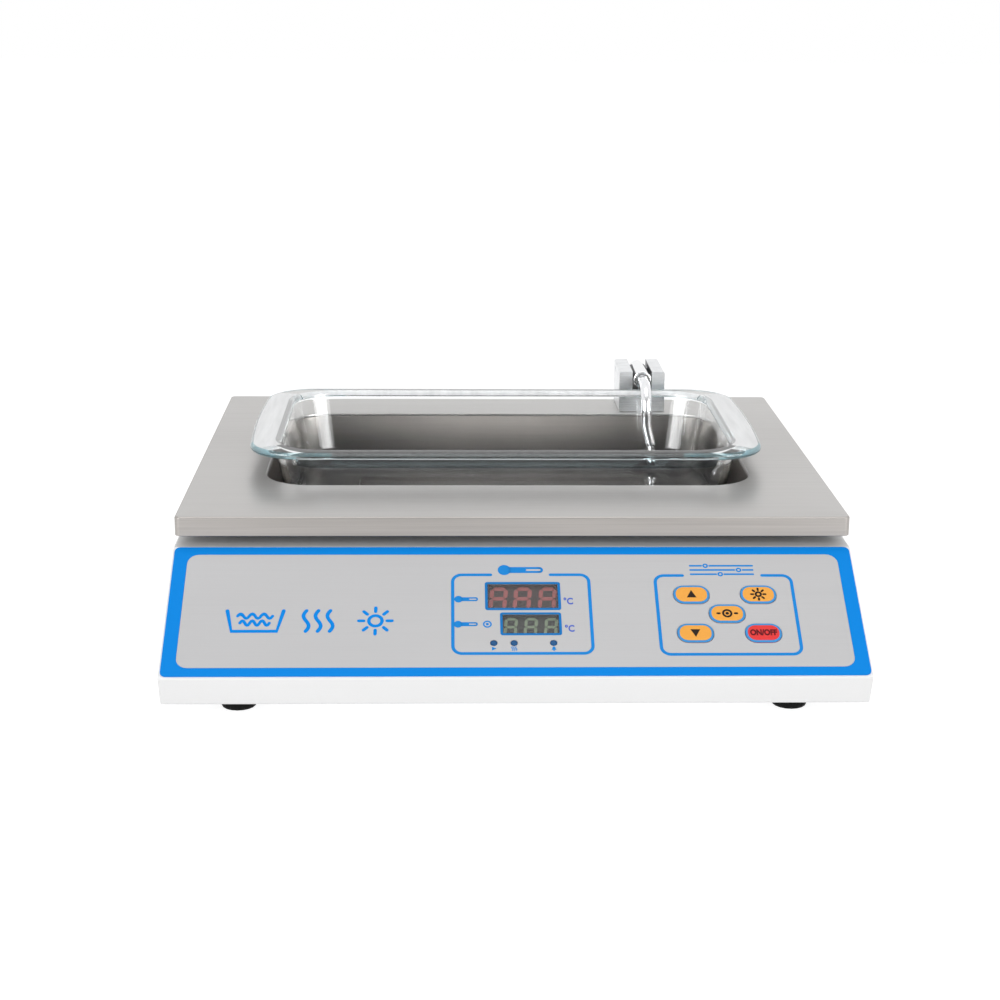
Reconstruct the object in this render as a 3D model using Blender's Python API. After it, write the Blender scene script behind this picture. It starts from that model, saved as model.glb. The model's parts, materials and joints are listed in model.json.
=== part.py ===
"""Heated, lit bench bath for floating tissue sections.

A white sheet-steel casing with a sloping key panel carries a stainless plate on a recessed
spacer. A glass dish stands in the tub under the plate's opening, over a frosted window with
two light strips below it, and a hinged sensor rod dips into the dish from the back.

Metres, +Z up. X runs to the right and Y to the back. The origin is on the bench, in the middle
of the whole object. Panel pieces are placed from an empty on the front panel's lower edge: its
X runs along that edge, its Y up the slope and its Z out of the panel.
"""

import math

import bmesh
import bpy
from mathutils import Vector
from mathutils.geometry import tessellate_polygon

# Gaps
SEAT = 0.0003
FILM_GAP = 0.0001
OVERRUN = 0.002
WELD = 0.0006

# Roundness of outlines
CORNER_STEPS = 5
SMALL_STEPS = 2
ROUND_COUNT = 4 * (CORNER_STEPS + 1)
SMALL_COUNT = 4 * (SMALL_STEPS + 1)
TURNED_COUNT = 18
SCREW_COUNT = 10
EDGE_STEPS = 2
SMOOTH_ANGLE = math.radians(30)
GLASS_SMOOTH_ANGLE = math.radians(50)
DOME_SMOOTH_ANGLE = math.radians(60)

# Dish
DISH_LENGTH = 0.2935
DISH_DEPTH = 0.1670
DISH_CORNER = 0.026
DISH_END_BULGE = 0.0040
DISH_HEIGHT = 0.050
DISH_WALL = 0.0040
DISH_FLOOR = 0.0048
DISH_RIM = 0.0044
DISH_RIM_ROUND = 0.0018
DISH_END_LEDGE = 0.0155
DISH_SIDE_LEDGE = 0.0045
DISH_LEDGE_SLOPE = 0.0008
DISH_INNER_LEDGE = 0.0060
DISH_BODY_CORNER = 0.022
DISH_TAPER = 0.0085
DISH_FLOOR_RADIUS = 0.011
DISH_SIDE_STEPS = 6
DISH_SET_BACK = 0.0015

# Top plate: its opening clears the dish, and its bands set the size of the plate
DISH_END_GAP = 0.0075
DISH_SIDE_GAP = 0.00825
FRONT_BAND = 0.0633
BACK_BAND = 0.0487
SIDE_BAND = 0.04125
PLATE_SHEET = 0.0015
PLATE_EDGE = 0.0107
PLATE_CORNER = 0.0022
PLATE_FOLD_RADIUS = 0.0009
OPENING_CORNER = 0.027
OPENING_ROUND = 0.0008

# Casing under the plate
CASING_BESIDE_PLATE = 0.001
PLATE_OVERHANG = 0.002
PLATE_STANDOFF = 0.0064
CASING_WALL = 0.0015
SLOPE_RUN = 0.0733
SLOPE_RISE = 0.0462
LIP_RUN = 0.0056
LIP_RISE = 0.0165
FOLD_RADIUS = 0.0014
CASING_SIDE_ROUND = 0.0009
CASING_CUT_CLEARANCE = 0.005
CASING_CUT_CORNER = 0.006

# Feet and base
FOOT_HEIGHT = 0.0092
FOOT_TOP_RADIUS = 0.0098
FOOT_BOTTOM_RADIUS = 0.0088
FOOT_EDGE = 0.0012
FOOT_FROM_SIDE = 0.0373
FOOT_BEHIND_FOLD = 0.0290
FOOT_BEFORE_BACK = 0.0300
FOOT_RECESS_RADIUS = 0.0044
FOOT_RECESS_DEPTH = 0.0046
BASE_SHEET = 0.0012
BASE_RECESS = 0.0004
BASE_CLEARANCE = 0.0006
BASE_CORNER = 0.003
RAIL_WIDTH = 0.010
RAIL_HEIGHT = 0.003
RAIL_BEHIND_LIP = 0.012
RAIL_BEFORE_BACK = 0.012
RAIL_CORNER = 0.001

# Tub, spacer, heater and light
TUB_SHEET = 0.001
TUB_CLEARANCE = 0.0006
TUB_FLANGE = 0.012
TUB_DEPTH = 0.0331
HOT_PLATE_THICKNESS = 0.003
SPACER_BESIDE_STUD = 0.018
SPACER_BEFORE_STUD = 0.020
SPACER_BEHIND_STUD = 0.008
SPACER_CORNER = 0.006
WINDOW_SIDE_BAND = 0.04875
WINDOW_END_BAND = 0.04225
WINDOW_CUT_CORNER = 0.006
WINDOW_LAP = 0.005
WINDOW_THICKNESS = 0.003
WINDOW_CLEARANCE = 0.003
TRAY_SHEET = 0.0012
TRAY_DEPTH = 0.017
TRAY_FLANGE = 0.010
MAT_SIDE_BAND = 0.0158
MAT_END_BAND = 0.0098
MAT_CORNER = 0.010
MAT_THICKNESS = 0.0015
STRIP_END_GAP = 0.003
STRIP_WIDTH = 0.008
STRIP_THICKNESS = 0.0012
STRIP_FROM_WALL = 0.028
LAMP_COUNT = 12
LAMP_LENGTH = 0.0050
LAMP_HEIGHT = 0.0008

# Probe
PROBE_FROM_DISH_END = 0.03505
ROD_RADIUS = 0.0032
ROD_ABOVE_RIM = 0.0009
ROD_FROM_DISH_WALL = 0.01405
ROD_ABOVE_DISH_FLOOR = 0.0037
ROD_BEND_RADIUS = 0.0150
ROD_NECK_RADIUS = 0.0022
ROD_BALL_RADIUS = 0.0036
ROD_BEND_STEPS = 7
BALL_STEPS = 6
SLEEVE_RADIUS = 0.0056
SLEEVE_BORE_RADIUS = 0.0042
SLEEVE_BORE_DEPTH = 0.0130
SLEEVE_PROUD = 0.0020
SLEEVE_EDGE = 0.0005
SLEEVE_BACK_ROUND = 0.0026
PIVOT_RADIUS = 0.0015
PIVOT_CLEARANCE = 0.0002
PIVOT_BEFORE_BACK = 0.0090
GROOVE_SIDE_GAP = 0.0006
GROOVE_UNDER_GAP = 0.0017
BLOCK_CHEEK = 0.00855
BLOCK_ABOVE_AXIS = 0.0050
BLOCK_BEHIND_OPENING = 0.0062
BLOCK_BEFORE_EDGE = 0.0015
BLOCK_EDGE_ROUND = 0.0010
LEAD_RADIUS = 0.0014
LEAD_CLEARANCE = 0.0014
LEAD_BEFORE_BACK = 0.0045
LEAD_ABOVE_BASE = 0.006
LEAD_TURN = 0.022
LEAD_STEPS = 4

# Front panel
OVERLAY_THICKNESS = 0.0005
OVERLAY_SIDE_MARGIN = 0.001
OVERLAY_EDGE_MARGIN = 0.0008
OVERLAY_CORNER = 0.003
BORDER_SIDE = 0.0073
BORDER_EDGE = 0.0052
FACEPLATE_CORNER = 0.006
UPPER_DISPLAY_WIDTH = 0.0390
UPPER_DISPLAY_HEIGHT = 0.0183
UPPER_DISPLAY_U = 0.0040
UPPER_DISPLAY_V = 0.0523
LOWER_DISPLAY_WIDTH = 0.0312
LOWER_DISPLAY_HEIGHT = 0.0144
LOWER_DISPLAY_U = 0.0077
LOWER_DISPLAY_V = 0.0339
DISPLAY_CORNER = 0.0009
DISPLAY_CLEARANCE = 0.0002
MODULE_BORDER = 0.0004
INDICATOR_RADIUS = 0.0018
INDICATOR_V = 0.0215
INDICATOR_RUN_U = -0.0117
INDICATOR_HEAT_U = -0.0013
INDICATOR_ALARM_U = 0.0190
INDICATOR_CLEARANCE = 0.0002
INDICATOR_DOME = 0.0004
DOME_SHARES = ((0.8, 0.6), (0.4, 1.0))

# Keys, in a cross: two on the left, one in the middle, two on the right
KEY_WIDTH = 0.0188
KEY_HEIGHT = 0.0121
KEY_CORNER = 0.0056
KEY_PROUD = 0.0005
KEY_CROWN = 0.0004
KEY_CLEARANCE = 0.0003
KEY_FLANGE = 0.0010
KEY_FLANGE_THICKNESS = 0.0010
KEY_STEM_RADIUS = 0.0024
KEY_TRAVEL = 0.0006
KEY_FROM_SIDE = 0.0710
KEY_V = 0.0402
KEY_COLUMN_PITCH = 0.0176
KEY_ROW_PITCH = 0.0127

# Control board
BOARD_DROP = 0.0100
BOARD_THICKNESS = 0.0016
BOARD_BESIDE_LAMP = 0.0283
BOARD_BESIDE_KEYS = 0.0150
BOARD_ABOVE_FOLD = 0.0090
BOARD_BELOW_TOP = 0.01165
BOARD_CORNER = 0.002
PILLAR_RADIUS = 0.003
PILLAR_INSET = 0.005
SWITCH_SIDE = 0.0060
SWITCH_CORNER = 0.0005
SWITCH_BODY = 0.0034
SWITCH_PLUNGER = 0.0008
SWITCH_PLUNGER_RADIUS = 0.0017
SWITCH_PLAY = 0.0002

# Supply, cut-out and inlet at the back
CORE_WIDTH = 0.052
CORE_DEPTH = 0.022
CORE_HEIGHT = 0.043
COIL_WIDTH = 0.034
COIL_DEPTH = 0.034
COIL_HEIGHT = 0.028
COIL_CORNER = 0.004
CORE_CORNER = 0.001
SUPPLY_BESIDE_INLET = 0.070
SUPPLY_BEFORE_BACK = 0.0225
CUTOUT_WIDTH = 0.0100
CUTOUT_LENGTH = 0.0180
CUTOUT_HEIGHT = 0.0045
CUTOUT_CORNER = 0.0012
CUTOUT_INSET = 0.0015
INLET_FROM_SIDE = 0.061
INLET_ABOVE_LIP = 0.030
INLET_BODY_WIDTH = 0.0274
INLET_BODY_HEIGHT = 0.0200
INLET_BODY_CORNER = 0.003
INLET_LENGTH = 0.0200
INLET_FLANGE = 0.0025
INLET_FLANGE_LAP = 0.0022
INLET_CAVITY_WIDTH = 0.0240
INLET_CAVITY_HEIGHT = 0.0166
INLET_CAVITY_CORNER = 0.002
INLET_CAVITY_DEPTH = 0.0170
INLET_CLEARANCE = 0.0003
PIN_WIDTH = 0.0020
PIN_HEIGHT = 0.0040
PIN_LENGTH = 0.0110
PIN_SPACING = 0.0140
PIN_OFFSET = 0.0020
PIN_CORNER = 0.0003

# Fasteners
STUD_RADIUS = 0.0025
STUD_CLEARANCE = 0.0004
STUD_BESIDE_OPENING = 0.00125
STUD_BEFORE_FLANGE = 0.0093
STUD_BEHIND_FLANGE = 0.0067
STUD_TAIL = 0.0015
NUT_ACROSS = 0.0080
NUT_HEIGHT = 0.0040
NUT_CLEARANCE = 0.0002
FOOT_SCREW_RADIUS = 0.0020
FOOT_SCREW_HEAD = 0.0036
FOOT_SCREW_TAIL = 0.0030
BASE_SCREW_RADIUS = 0.0015
BASE_SCREW_HEAD = 0.0028
BASE_SCREW_TAIL = 0.0010
BASE_SCREW_FROM_END = 0.014
BLOCK_SCREW_RADIUS = 0.0015
BLOCK_SCREW_HEAD = 0.0027
BLOCK_SCREW_DEPTH = 0.0080
BLOCK_SCREW_SPACING = 0.0170
BLOCK_SCREW_BEFORE_BACK = 0.0130
SCREW_HEAD_HEIGHT = 0.0020
SCREW_HEAD_EDGE = 0.0005
SCREW_CLEARANCE = 0.0003

# Sizes, levels and places worked out from the sizes above
DISH_BODY_LENGTH = DISH_LENGTH - 2 * DISH_END_LEDGE
DISH_BODY_DEPTH = DISH_DEPTH - 2 * DISH_SIDE_LEDGE
OPENING_WIDTH = DISH_BODY_LENGTH + 2 * DISH_END_GAP
OPENING_DEPTH = DISH_BODY_DEPTH + 2 * DISH_SIDE_GAP
PLATE_WIDTH = OPENING_WIDTH + 2 * SIDE_BAND
PLATE_DEPTH = FRONT_BAND + OPENING_DEPTH + BACK_BAND
CASING_WIDTH = PLATE_WIDTH + 2 * CASING_BESIDE_PLATE
CASING_TOP_RUN = PLATE_DEPTH - 2 * PLATE_OVERHANG
WINDOW_CUT_WIDTH = OPENING_WIDTH - 2 * WINDOW_SIDE_BAND
WINDOW_CUT_DEPTH = OPENING_DEPTH - 2 * WINDOW_END_BAND

Z_LIP = FOOT_HEIGHT
Z_FOLD = Z_LIP + LIP_RISE
Z_TOP = Z_FOLD + SLOPE_RISE
Z_PLATE_BASE = Z_TOP + PLATE_STANDOFF
Z_PLATE = Z_PLATE_BASE + PLATE_EDGE
Z_SHEET = Z_PLATE - PLATE_SHEET
Z_TUB_TOP = Z_SHEET - SEAT
Z_TUB_FLOOR = Z_PLATE - TUB_DEPTH
Z_TUB_UNDER = Z_TUB_FLOOR - HOT_PLATE_THICKNESS
Z_MAT_UNDER = Z_TUB_UNDER - SEAT - MAT_THICKNESS
Z_BASE = Z_LIP + BASE_RECESS
Z_BASE_TOP = Z_BASE + BASE_SHEET
Z_DISH = Z_TUB_FLOOR + SEAT

OVERALL_DEPTH = SLOPE_RUN + CASING_TOP_RUN + INLET_FLANGE
Y_FOLD = -OVERALL_DEPTH / 2
Y_LIP = Y_FOLD + LIP_RUN
Y_TOP = Y_FOLD + SLOPE_RUN
Y_BACK = Y_TOP + CASING_TOP_RUN
Y_PLATE = Y_TOP - PLATE_OVERHANG
Y_PLATE_BACK = Y_PLATE + PLATE_DEPTH
Y_PLATE_CENTRE = Y_PLATE + PLATE_DEPTH / 2
Y_OPENING = Y_PLATE + FRONT_BAND + OPENING_DEPTH / 2
Y_DISH = Y_OPENING + DISH_SET_BACK
INLET_X = INLET_FROM_SIDE - CASING_WIDTH / 2
SUPPLY_X = INLET_X + SUPPLY_BESIDE_INLET

SLOPE_LENGTH = math.hypot(SLOPE_RUN, SLOPE_RISE)
SLOPE_ANGLE = math.atan2(SLOPE_RISE, SLOPE_RUN)
OVERLAY_WIDTH = CASING_WIDTH - 2 * OVERLAY_SIDE_MARGIN
OVERLAY_HEIGHT = SLOPE_LENGTH - 2 * OVERLAY_EDGE_MARGIN
OVERLAY_V = SLOPE_LENGTH / 2
KEY_U = CASING_WIDTH / 2 - KEY_FROM_SIDE
BOARD_LEFT = INDICATOR_RUN_U - BOARD_BESIDE_LAMP
BOARD_RIGHT = KEY_U + KEY_COLUMN_PITCH + KEY_WIDTH / 2 + BOARD_BESIDE_KEYS
BOARD_BOTTOM = BOARD_ABOVE_FOLD
BOARD_TOP = SLOPE_LENGTH - BOARD_BELOW_TOP
H_OVERLAY_TOP = FILM_GAP + OVERLAY_THICKNESS
H_BOARD = -BOARD_DROP
H_SWITCH_BASE = H_BOARD + SEAT
H_SWITCH_BODY = H_SWITCH_BASE + SWITCH_BODY
H_SWITCH_TOP = H_SWITCH_BODY + SWITCH_PLUNGER
H_BEHIND_WALL = -(CASING_WALL + SEAT)
H_KEY_STEM = H_SWITCH_TOP + KEY_TRAVEL + SWITCH_PLAY


def clear_scene():
    for thing in list(bpy.data.objects):
        bpy.data.objects.remove(thing, do_unlink=True)


# Outlines: lists of (x, y), counter-clockwise

def circle(radius, centre=(0.0, 0.0), count=ROUND_COUNT):
    """Round outline that starts half a step past +X, so that it lofts square to square."""
    points = []
    for i in range(count):
        angle = 2 * math.pi * (i + 0.5) / count
        points.append((centre[0] + radius * math.cos(angle), centre[1] + radius * math.sin(angle)))
    return points


def rounded_rect(width, depth, radius, centre=(0.0, 0.0), steps=CORNER_STEPS, bulge=0.0, side_steps=1):
    """Rectangle with round corners; bulge bows its left and right ends outwards."""
    x = width / 2 - radius
    y = depth / 2 - radius
    corners = ((x, y), (-x, y), (-x, -y), (x, -y))
    points = []
    for quarter, (corner_x, corner_y) in enumerate(corners):
        for i in range(steps + 1):
            angle = math.pi / 2 * (quarter + i / steps)
            points.append((corner_x + radius * math.cos(angle), corner_y + radius * math.sin(angle)))
        end = Vector(points[-1])
        angle = math.pi / 2 * (quarter + 1)
        next_x, next_y = corners[(quarter + 1) % 4]
        start = Vector((next_x + radius * math.cos(angle), next_y + radius * math.sin(angle)))
        for i in range(1, side_steps):
            points.append(tuple(end.lerp(start, i / side_steps)))
    bowed = []
    for px, py in points:
        share = 1 - (2 * py / depth) ** 2
        bowed.append((centre[0] + px + math.copysign(bulge * share, px), centre[1] + py))
    return bowed


def hexagon(across, count=SMALL_COUNT):
    """Hexagon, across its flats, with a point in the middle of each side."""
    points = []
    for i in range(count):
        corner = across / math.sqrt(3)
        radius = corner if i % 2 == 0 else across / 2
        angle = 2 * math.pi * i / count
        points.append((radius * math.cos(angle), radius * math.sin(angle)))
    return points


def offset_corners(corners, offsets):
    """Corners of a convex outline after each side, from its corner to the next, moves inwards."""
    sides = []
    for i, (x, y) in enumerate(corners):
        next_x, next_y = corners[(i + 1) % len(corners)]
        along = Vector((next_x - x, next_y - y)).normalized()
        inward = Vector((-along.y, along.x))
        sides.append((Vector((x, y)) + inward * offsets[i], along))
    moved = []
    for i, (point, along) in enumerate(sides):
        before, direction = sides[i - 1]
        turn = direction.cross(along)
        travel = (point - before).cross(along) / turn
        moved.append(tuple(before + direction * travel))
    return moved


def fillet_corners(corners, radius, steps=EDGE_STEPS):
    """Convex outline with each corner rounded."""
    points = []
    for i, corner in enumerate(corners):
        here = Vector(corner)
        back = (Vector(corners[i - 1]) - here).normalized()
        ahead = (Vector(corners[(i + 1) % len(corners)]) - here).normalized()
        half = back.angle(ahead) / 2
        middle = here + (back + ahead).normalized() * (radius / math.sin(half))
        start = here + back * (radius / math.tan(half)) - middle
        sweep = math.pi - 2 * half
        for step in range(steps + 1):
            turn = sweep * step / steps
            x = start.x * math.cos(turn) - start.y * math.sin(turn)
            y = start.x * math.sin(turn) + start.y * math.cos(turn)
            points.append((middle.x + x, middle.y + y))
    return points


# Meshes

def level(outline, z):
    return [(x, y, z) for x, y in outline]


def closed_mesh(name, points, faces):
    """Mesh of one closed skin, with its faces turned outwards."""
    mesh = bpy.data.meshes.new(name)
    mesh.from_pydata(points, [], faces)
    shape = bmesh.new()
    shape.from_mesh(mesh)
    bmesh.ops.recalc_face_normals(shape, faces=shape.faces)
    shape.to_mesh(mesh)
    shape.free()
    return mesh


def loft(name, loops, ring=False):
    """Skin over loops of equal count; a ring joins its last loop to its first, others get caps."""
    count = len(loops[0])
    points = [point for loop in loops for point in loop]
    faces = []
    for a in range(len(loops) if ring else len(loops) - 1):
        b = (a + 1) % len(loops)
        for i in range(count):
            j = (i + 1) % count
            faces.append((a * count + i, a * count + j, b * count + j, b * count + i))
    if not ring:
        faces.append(tuple(range(count)))
        faces.append(tuple(range((len(loops) - 1) * count, len(loops) * count)))
    return closed_mesh(name, points, faces)


def slab(name, outline, low, high, holes=()):
    """Flat sheet between two heights, with holes through it."""
    loops = [outline, *holes]
    corners = [point for loop in loops for point in loop]
    flat = [[Vector((x, y, 0.0)) for x, y in loop] for loop in loops]
    total = len(corners)
    points = level(corners, low) + level(corners, high)
    faces = []
    for a, b, c in tessellate_polygon(flat):
        faces.append((a, b, c))
        faces.append((a + total, c + total, b + total))
    first = 0
    for loop in loops:
        for i in range(len(loop)):
            a = first + i
            b = first + (i + 1) % len(loop)
            faces.append((a, b, b + total, a + total))
        first += len(loop)
    return closed_mesh(name, points, faces)


def lathe(name, profile, ring=False, count=TURNED_COUNT):
    """Turned solid about Z from (radius, height) points."""
    return loft(name, [level(circle(radius, count=count), z) for radius, z in profile], ring)


def joined(name, meshes):
    """Several separate closed skins in one mesh."""
    shape = bmesh.new()
    for mesh in meshes:
        shape.from_mesh(mesh)
    whole = bpy.data.meshes.new(name)
    shape.to_mesh(whole)
    shape.free()
    return whole


def smoothed(mesh, angle=SMOOTH_ANGLE):
    mesh.shade_smooth()
    mesh.set_sharp_from_angle(angle=angle)
    return mesh


# Objects

def finish(name, colour, roughness, metallic=0.0, alpha=1.0):
    material = bpy.data.materials.new(name)
    material.use_nodes = True
    shader = material.node_tree.nodes["Principled BSDF"]
    shader.inputs["Base Color"].default_value = (*colour, 1.0)
    shader.inputs["Roughness"].default_value = roughness
    shader.inputs["Metallic"].default_value = metallic
    shader.inputs["Alpha"].default_value = alpha
    return material


def piece(name, data, material=None, parent=None, location=(0.0, 0.0, 0.0), rotation=(0.0, 0.0, 0.0)):
    thing = bpy.data.objects.new(name, data)
    if material is not None:
        data.materials.append(material)
    thing.parent = parent
    thing.location = location
    thing.rotation_euler = rotation
    bpy.context.scene.collection.objects.link(thing)
    return thing


def guide(name, data, parent=None, location=(0.0, 0.0, 0.0), rotation=(0.0, 0.0, 0.0)):
    """Shape that only cuts or adds to another object."""
    thing = piece(name, data, None, parent, location, rotation)
    thing.hide_render = True
    thing.display_type = "WIRE"
    return thing


def combine(target, tool, operation="DIFFERENCE"):
    modifier = target.modifiers.new(tool.name, "BOOLEAN")
    modifier.operation = operation
    modifier.solver = "EXACT"
    modifier.object = tool


# Places that several pieces share

def four_places(side, front, back):
    return {
        "front_left": (-side, front),
        "front_right": (side, front),
        "back_left": (-side, back),
        "back_right": (side, back),
    }


FOOT_SIDE = CASING_WIDTH / 2 - FOOT_FROM_SIDE
FOOT_PLACES = four_places(FOOT_SIDE, Y_FOLD + FOOT_BEHIND_FOLD, Y_BACK - FOOT_BEFORE_BACK)
RAIL_SIDE = CASING_WIDTH / 2 - CASING_WALL - SEAT - RAIL_WIDTH / 2
RAIL_FRONT = Y_LIP + RAIL_BEHIND_LIP
RAIL_BACK = Y_BACK - RAIL_BEFORE_BACK
BASE_SCREW_PLACES = four_places(RAIL_SIDE, RAIL_FRONT + BASE_SCREW_FROM_END, RAIL_BACK - BASE_SCREW_FROM_END)
STUD_SIDE = OPENING_WIDTH / 2 + STUD_BESIDE_OPENING
STUD_FRONT = Y_OPENING - OPENING_DEPTH / 2 - TUB_FLANGE - STUD_BEFORE_FLANGE
STUD_BACK = Y_OPENING + OPENING_DEPTH / 2 + TUB_FLANGE + STUD_BEHIND_FLANGE
STUD_PLACES = four_places(STUD_SIDE, STUD_FRONT, STUD_BACK)
KEY_PLACES = {
    "up": (KEY_U - KEY_COLUMN_PITCH, KEY_V + KEY_ROW_PITCH),
    "down": (KEY_U - KEY_COLUMN_PITCH, KEY_V - KEY_ROW_PITCH),
    "set": (KEY_U, KEY_V),
    "light": (KEY_U + KEY_COLUMN_PITCH, KEY_V + KEY_ROW_PITCH),
    "power": (KEY_U + KEY_COLUMN_PITCH, KEY_V - KEY_ROW_PITCH),
}
INDICATOR_PLACES = {
    "run": INDICATOR_RUN_U,
    "heat": INDICATOR_HEAT_U,
    "alarm": INDICATOR_ALARM_U,
}
GROOVE_WIDTH = 2 * (SLEEVE_RADIUS + GROOVE_SIDE_GAP)
BLOCK_WIDTH = GROOVE_WIDTH + 2 * BLOCK_CHEEK
BLOCK_BACK = Y_PLATE_BACK - BLOCK_BEFORE_EDGE
BLOCK_FRONT = Y_PLATE_BACK - BACK_BAND + BLOCK_BEHIND_OPENING
BLOCK_SCREW_Y = BLOCK_BACK - BLOCK_SCREW_BEFORE_BACK
PROBE_X = DISH_BODY_LENGTH / 2 - DISH_WALL - PROBE_FROM_DISH_END
PIVOT_Y = BLOCK_BACK - PIVOT_BEFORE_BACK
PIVOT_Z = Z_DISH + DISH_HEIGHT + ROD_ABOVE_RIM + ROD_RADIUS
ROD_REACH = PIVOT_Y - (Y_DISH + DISH_BODY_DEPTH / 2 - DISH_WALL) + ROD_FROM_DISH_WALL
ROD_DROP = PIVOT_Z - (Z_DISH + DISH_FLOOR + ROD_ABOVE_DISH_FLOOR)
LEAD_Y = BLOCK_BACK - LEAD_BEFORE_BACK
LEAD_HOLE_RADIUS = LEAD_RADIUS + LEAD_CLEARANCE


def opening_outline(grow, y=0.0):
    """Outline of the plate's opening, grown on every side."""
    width = OPENING_WIDTH + 2 * grow
    depth = OPENING_DEPTH + 2 * grow
    return rounded_rect(width, depth, OPENING_CORNER + grow, (0.0, y))


def well_cut(clearance, corner):
    """Plain square-cornered hole that clears the tub's walls."""
    width = OPENING_WIDTH + 2 * (TUB_SHEET + clearance)
    depth = OPENING_DEPTH + 2 * (TUB_SHEET + clearance)
    return rounded_rect(width, depth, corner, (0.0, Y_OPENING), SMALL_STEPS)


# Casing and base

def casing_outline(offsets, radius):
    """Side view of the casing, as (y, z), from the lip's foot round by the back to the fold."""
    corners = [
        (Y_LIP, Z_LIP),
        (Y_BACK, Z_LIP),
        (Y_BACK, Z_TOP),
        (Y_TOP, Z_TOP),
        (Y_FOLD, Z_FOLD),
    ]
    return fillet_corners(offset_corners(corners, offsets), radius)


def across(outline, x):
    return [(x, y, z) for y, z in outline]


def build_casing(panel, paint):
    half = CASING_WIDTH / 2
    loops = []
    for step in range(EDGE_STEPS + 1):
        turn = math.pi / 2 * step / EDGE_STEPS
        inset = CASING_SIDE_ROUND * (1 - math.sin(turn))
        x = half - CASING_SIDE_ROUND * (1 - math.cos(turn))
        loops.append((casing_outline([inset] * 5, FOLD_RADIUS - inset), x))
    loops.reverse()
    outer = [across(outline, -x) for outline, x in reversed(loops)]
    outer += [across(outline, x) for outline, x in loops]
    casing = piece("casing_shell", smoothed(loft("casing_shell", outer)), paint)

    wall = CASING_WALL
    hollow = casing_outline([-OVERRUN, wall, wall, wall, wall], FOLD_RADIUS - wall / 2)
    inner_half = half - wall
    inner = loft("casing_hollow", [across(hollow, -inner_half), across(hollow, inner_half)])
    combine(casing, guide("casing_hollow", inner))

    low = Z_TOP - CASING_WALL - OVERRUN
    high = Z_TOP + OVERRUN
    cuts = [slab("tub_cut", well_cut(CASING_CUT_CLEARANCE, CASING_CUT_CORNER), low, high)]
    for place in STUD_PLACES.values():
        hole = circle(STUD_RADIUS + STUD_CLEARANCE, place, SCREW_COUNT)
        cuts.append(slab("stud_cut", hole, low, high))
    cuts.append(slab("lead_cut", circle(LEAD_HOLE_RADIUS, (PROBE_X, LEAD_Y), SCREW_COUNT), low, high))
    combine(casing, guide("casing_top_cuts", joined("casing_top_cuts", cuts)))

    low = -CASING_WALL - OVERRUN
    cuts = [slab("panel_cut", hole, low, OVERRUN) for hole in panel_holes()]
    combine(casing, guide("casing_panel_cuts", joined("casing_panel_cuts", cuts), panel))

    cut_width = INLET_BODY_WIDTH + 2 * INLET_CLEARANCE
    cut_height = INLET_BODY_HEIGHT + 2 * INLET_CLEARANCE
    outline = rounded_rect(cut_width, cut_height, INLET_BODY_CORNER, steps=SMALL_STEPS)
    cut = slab("inlet_cut", outline, -CASING_WALL - OVERRUN, OVERRUN)
    combine(casing, guide("casing_inlet_cut", cut, None, inlet_place(), inlet_turn()))

    pillars = []
    for u in (BOARD_LEFT + PILLAR_INSET, BOARD_RIGHT - PILLAR_INSET):
        for v in (BOARD_BOTTOM + PILLAR_INSET, BOARD_TOP - PILLAR_INSET):
            outline = circle(PILLAR_RADIUS, (u, v), SCREW_COUNT)
            pillars.append(slab("pillar", outline, H_BOARD + SEAT, WELD - CASING_WALL))
    combine(casing, guide("board_pillars", joined("board_pillars", pillars), panel), "UNION")


def build_base(steel):
    front = Y_LIP + CASING_WALL + BASE_CLEARANCE
    back = Y_BACK - CASING_WALL - BASE_CLEARANCE
    width = CASING_WIDTH - 2 * (CASING_WALL + BASE_CLEARANCE)
    outline = rounded_rect(width, back - front, BASE_CORNER, (0.0, (front + back) / 2))
    holes = []
    for place in FOOT_PLACES.values():
        holes.append(circle(FOOT_SCREW_RADIUS + SCREW_CLEARANCE, place, SCREW_COUNT))
    for place in BASE_SCREW_PLACES.values():
        holes.append(circle(BASE_SCREW_RADIUS + SCREW_CLEARANCE, place, SCREW_COUNT))
    piece("base_plate", slab("base_plate", outline, Z_BASE, Z_BASE_TOP, holes), steel)

    low = Z_BASE_TOP + SEAT
    length = RAIL_BACK - RAIL_FRONT
    for name, side in (("left", -1), ("right", 1)):
        centre = (side * RAIL_SIDE, (RAIL_FRONT + RAIL_BACK) / 2)
        outline = rounded_rect(RAIL_WIDTH, length, RAIL_CORNER, centre, SMALL_STEPS)
        holes = []
        for end in ("front", "back"):
            place = BASE_SCREW_PLACES[end + "_" + name]
            holes.append(circle(BASE_SCREW_RADIUS + SCREW_CLEARANCE, place, SCREW_COUNT))
        piece("base_rail_" + name, slab("base_rail", outline, low, low + RAIL_HEIGHT, holes), steel)


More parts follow.
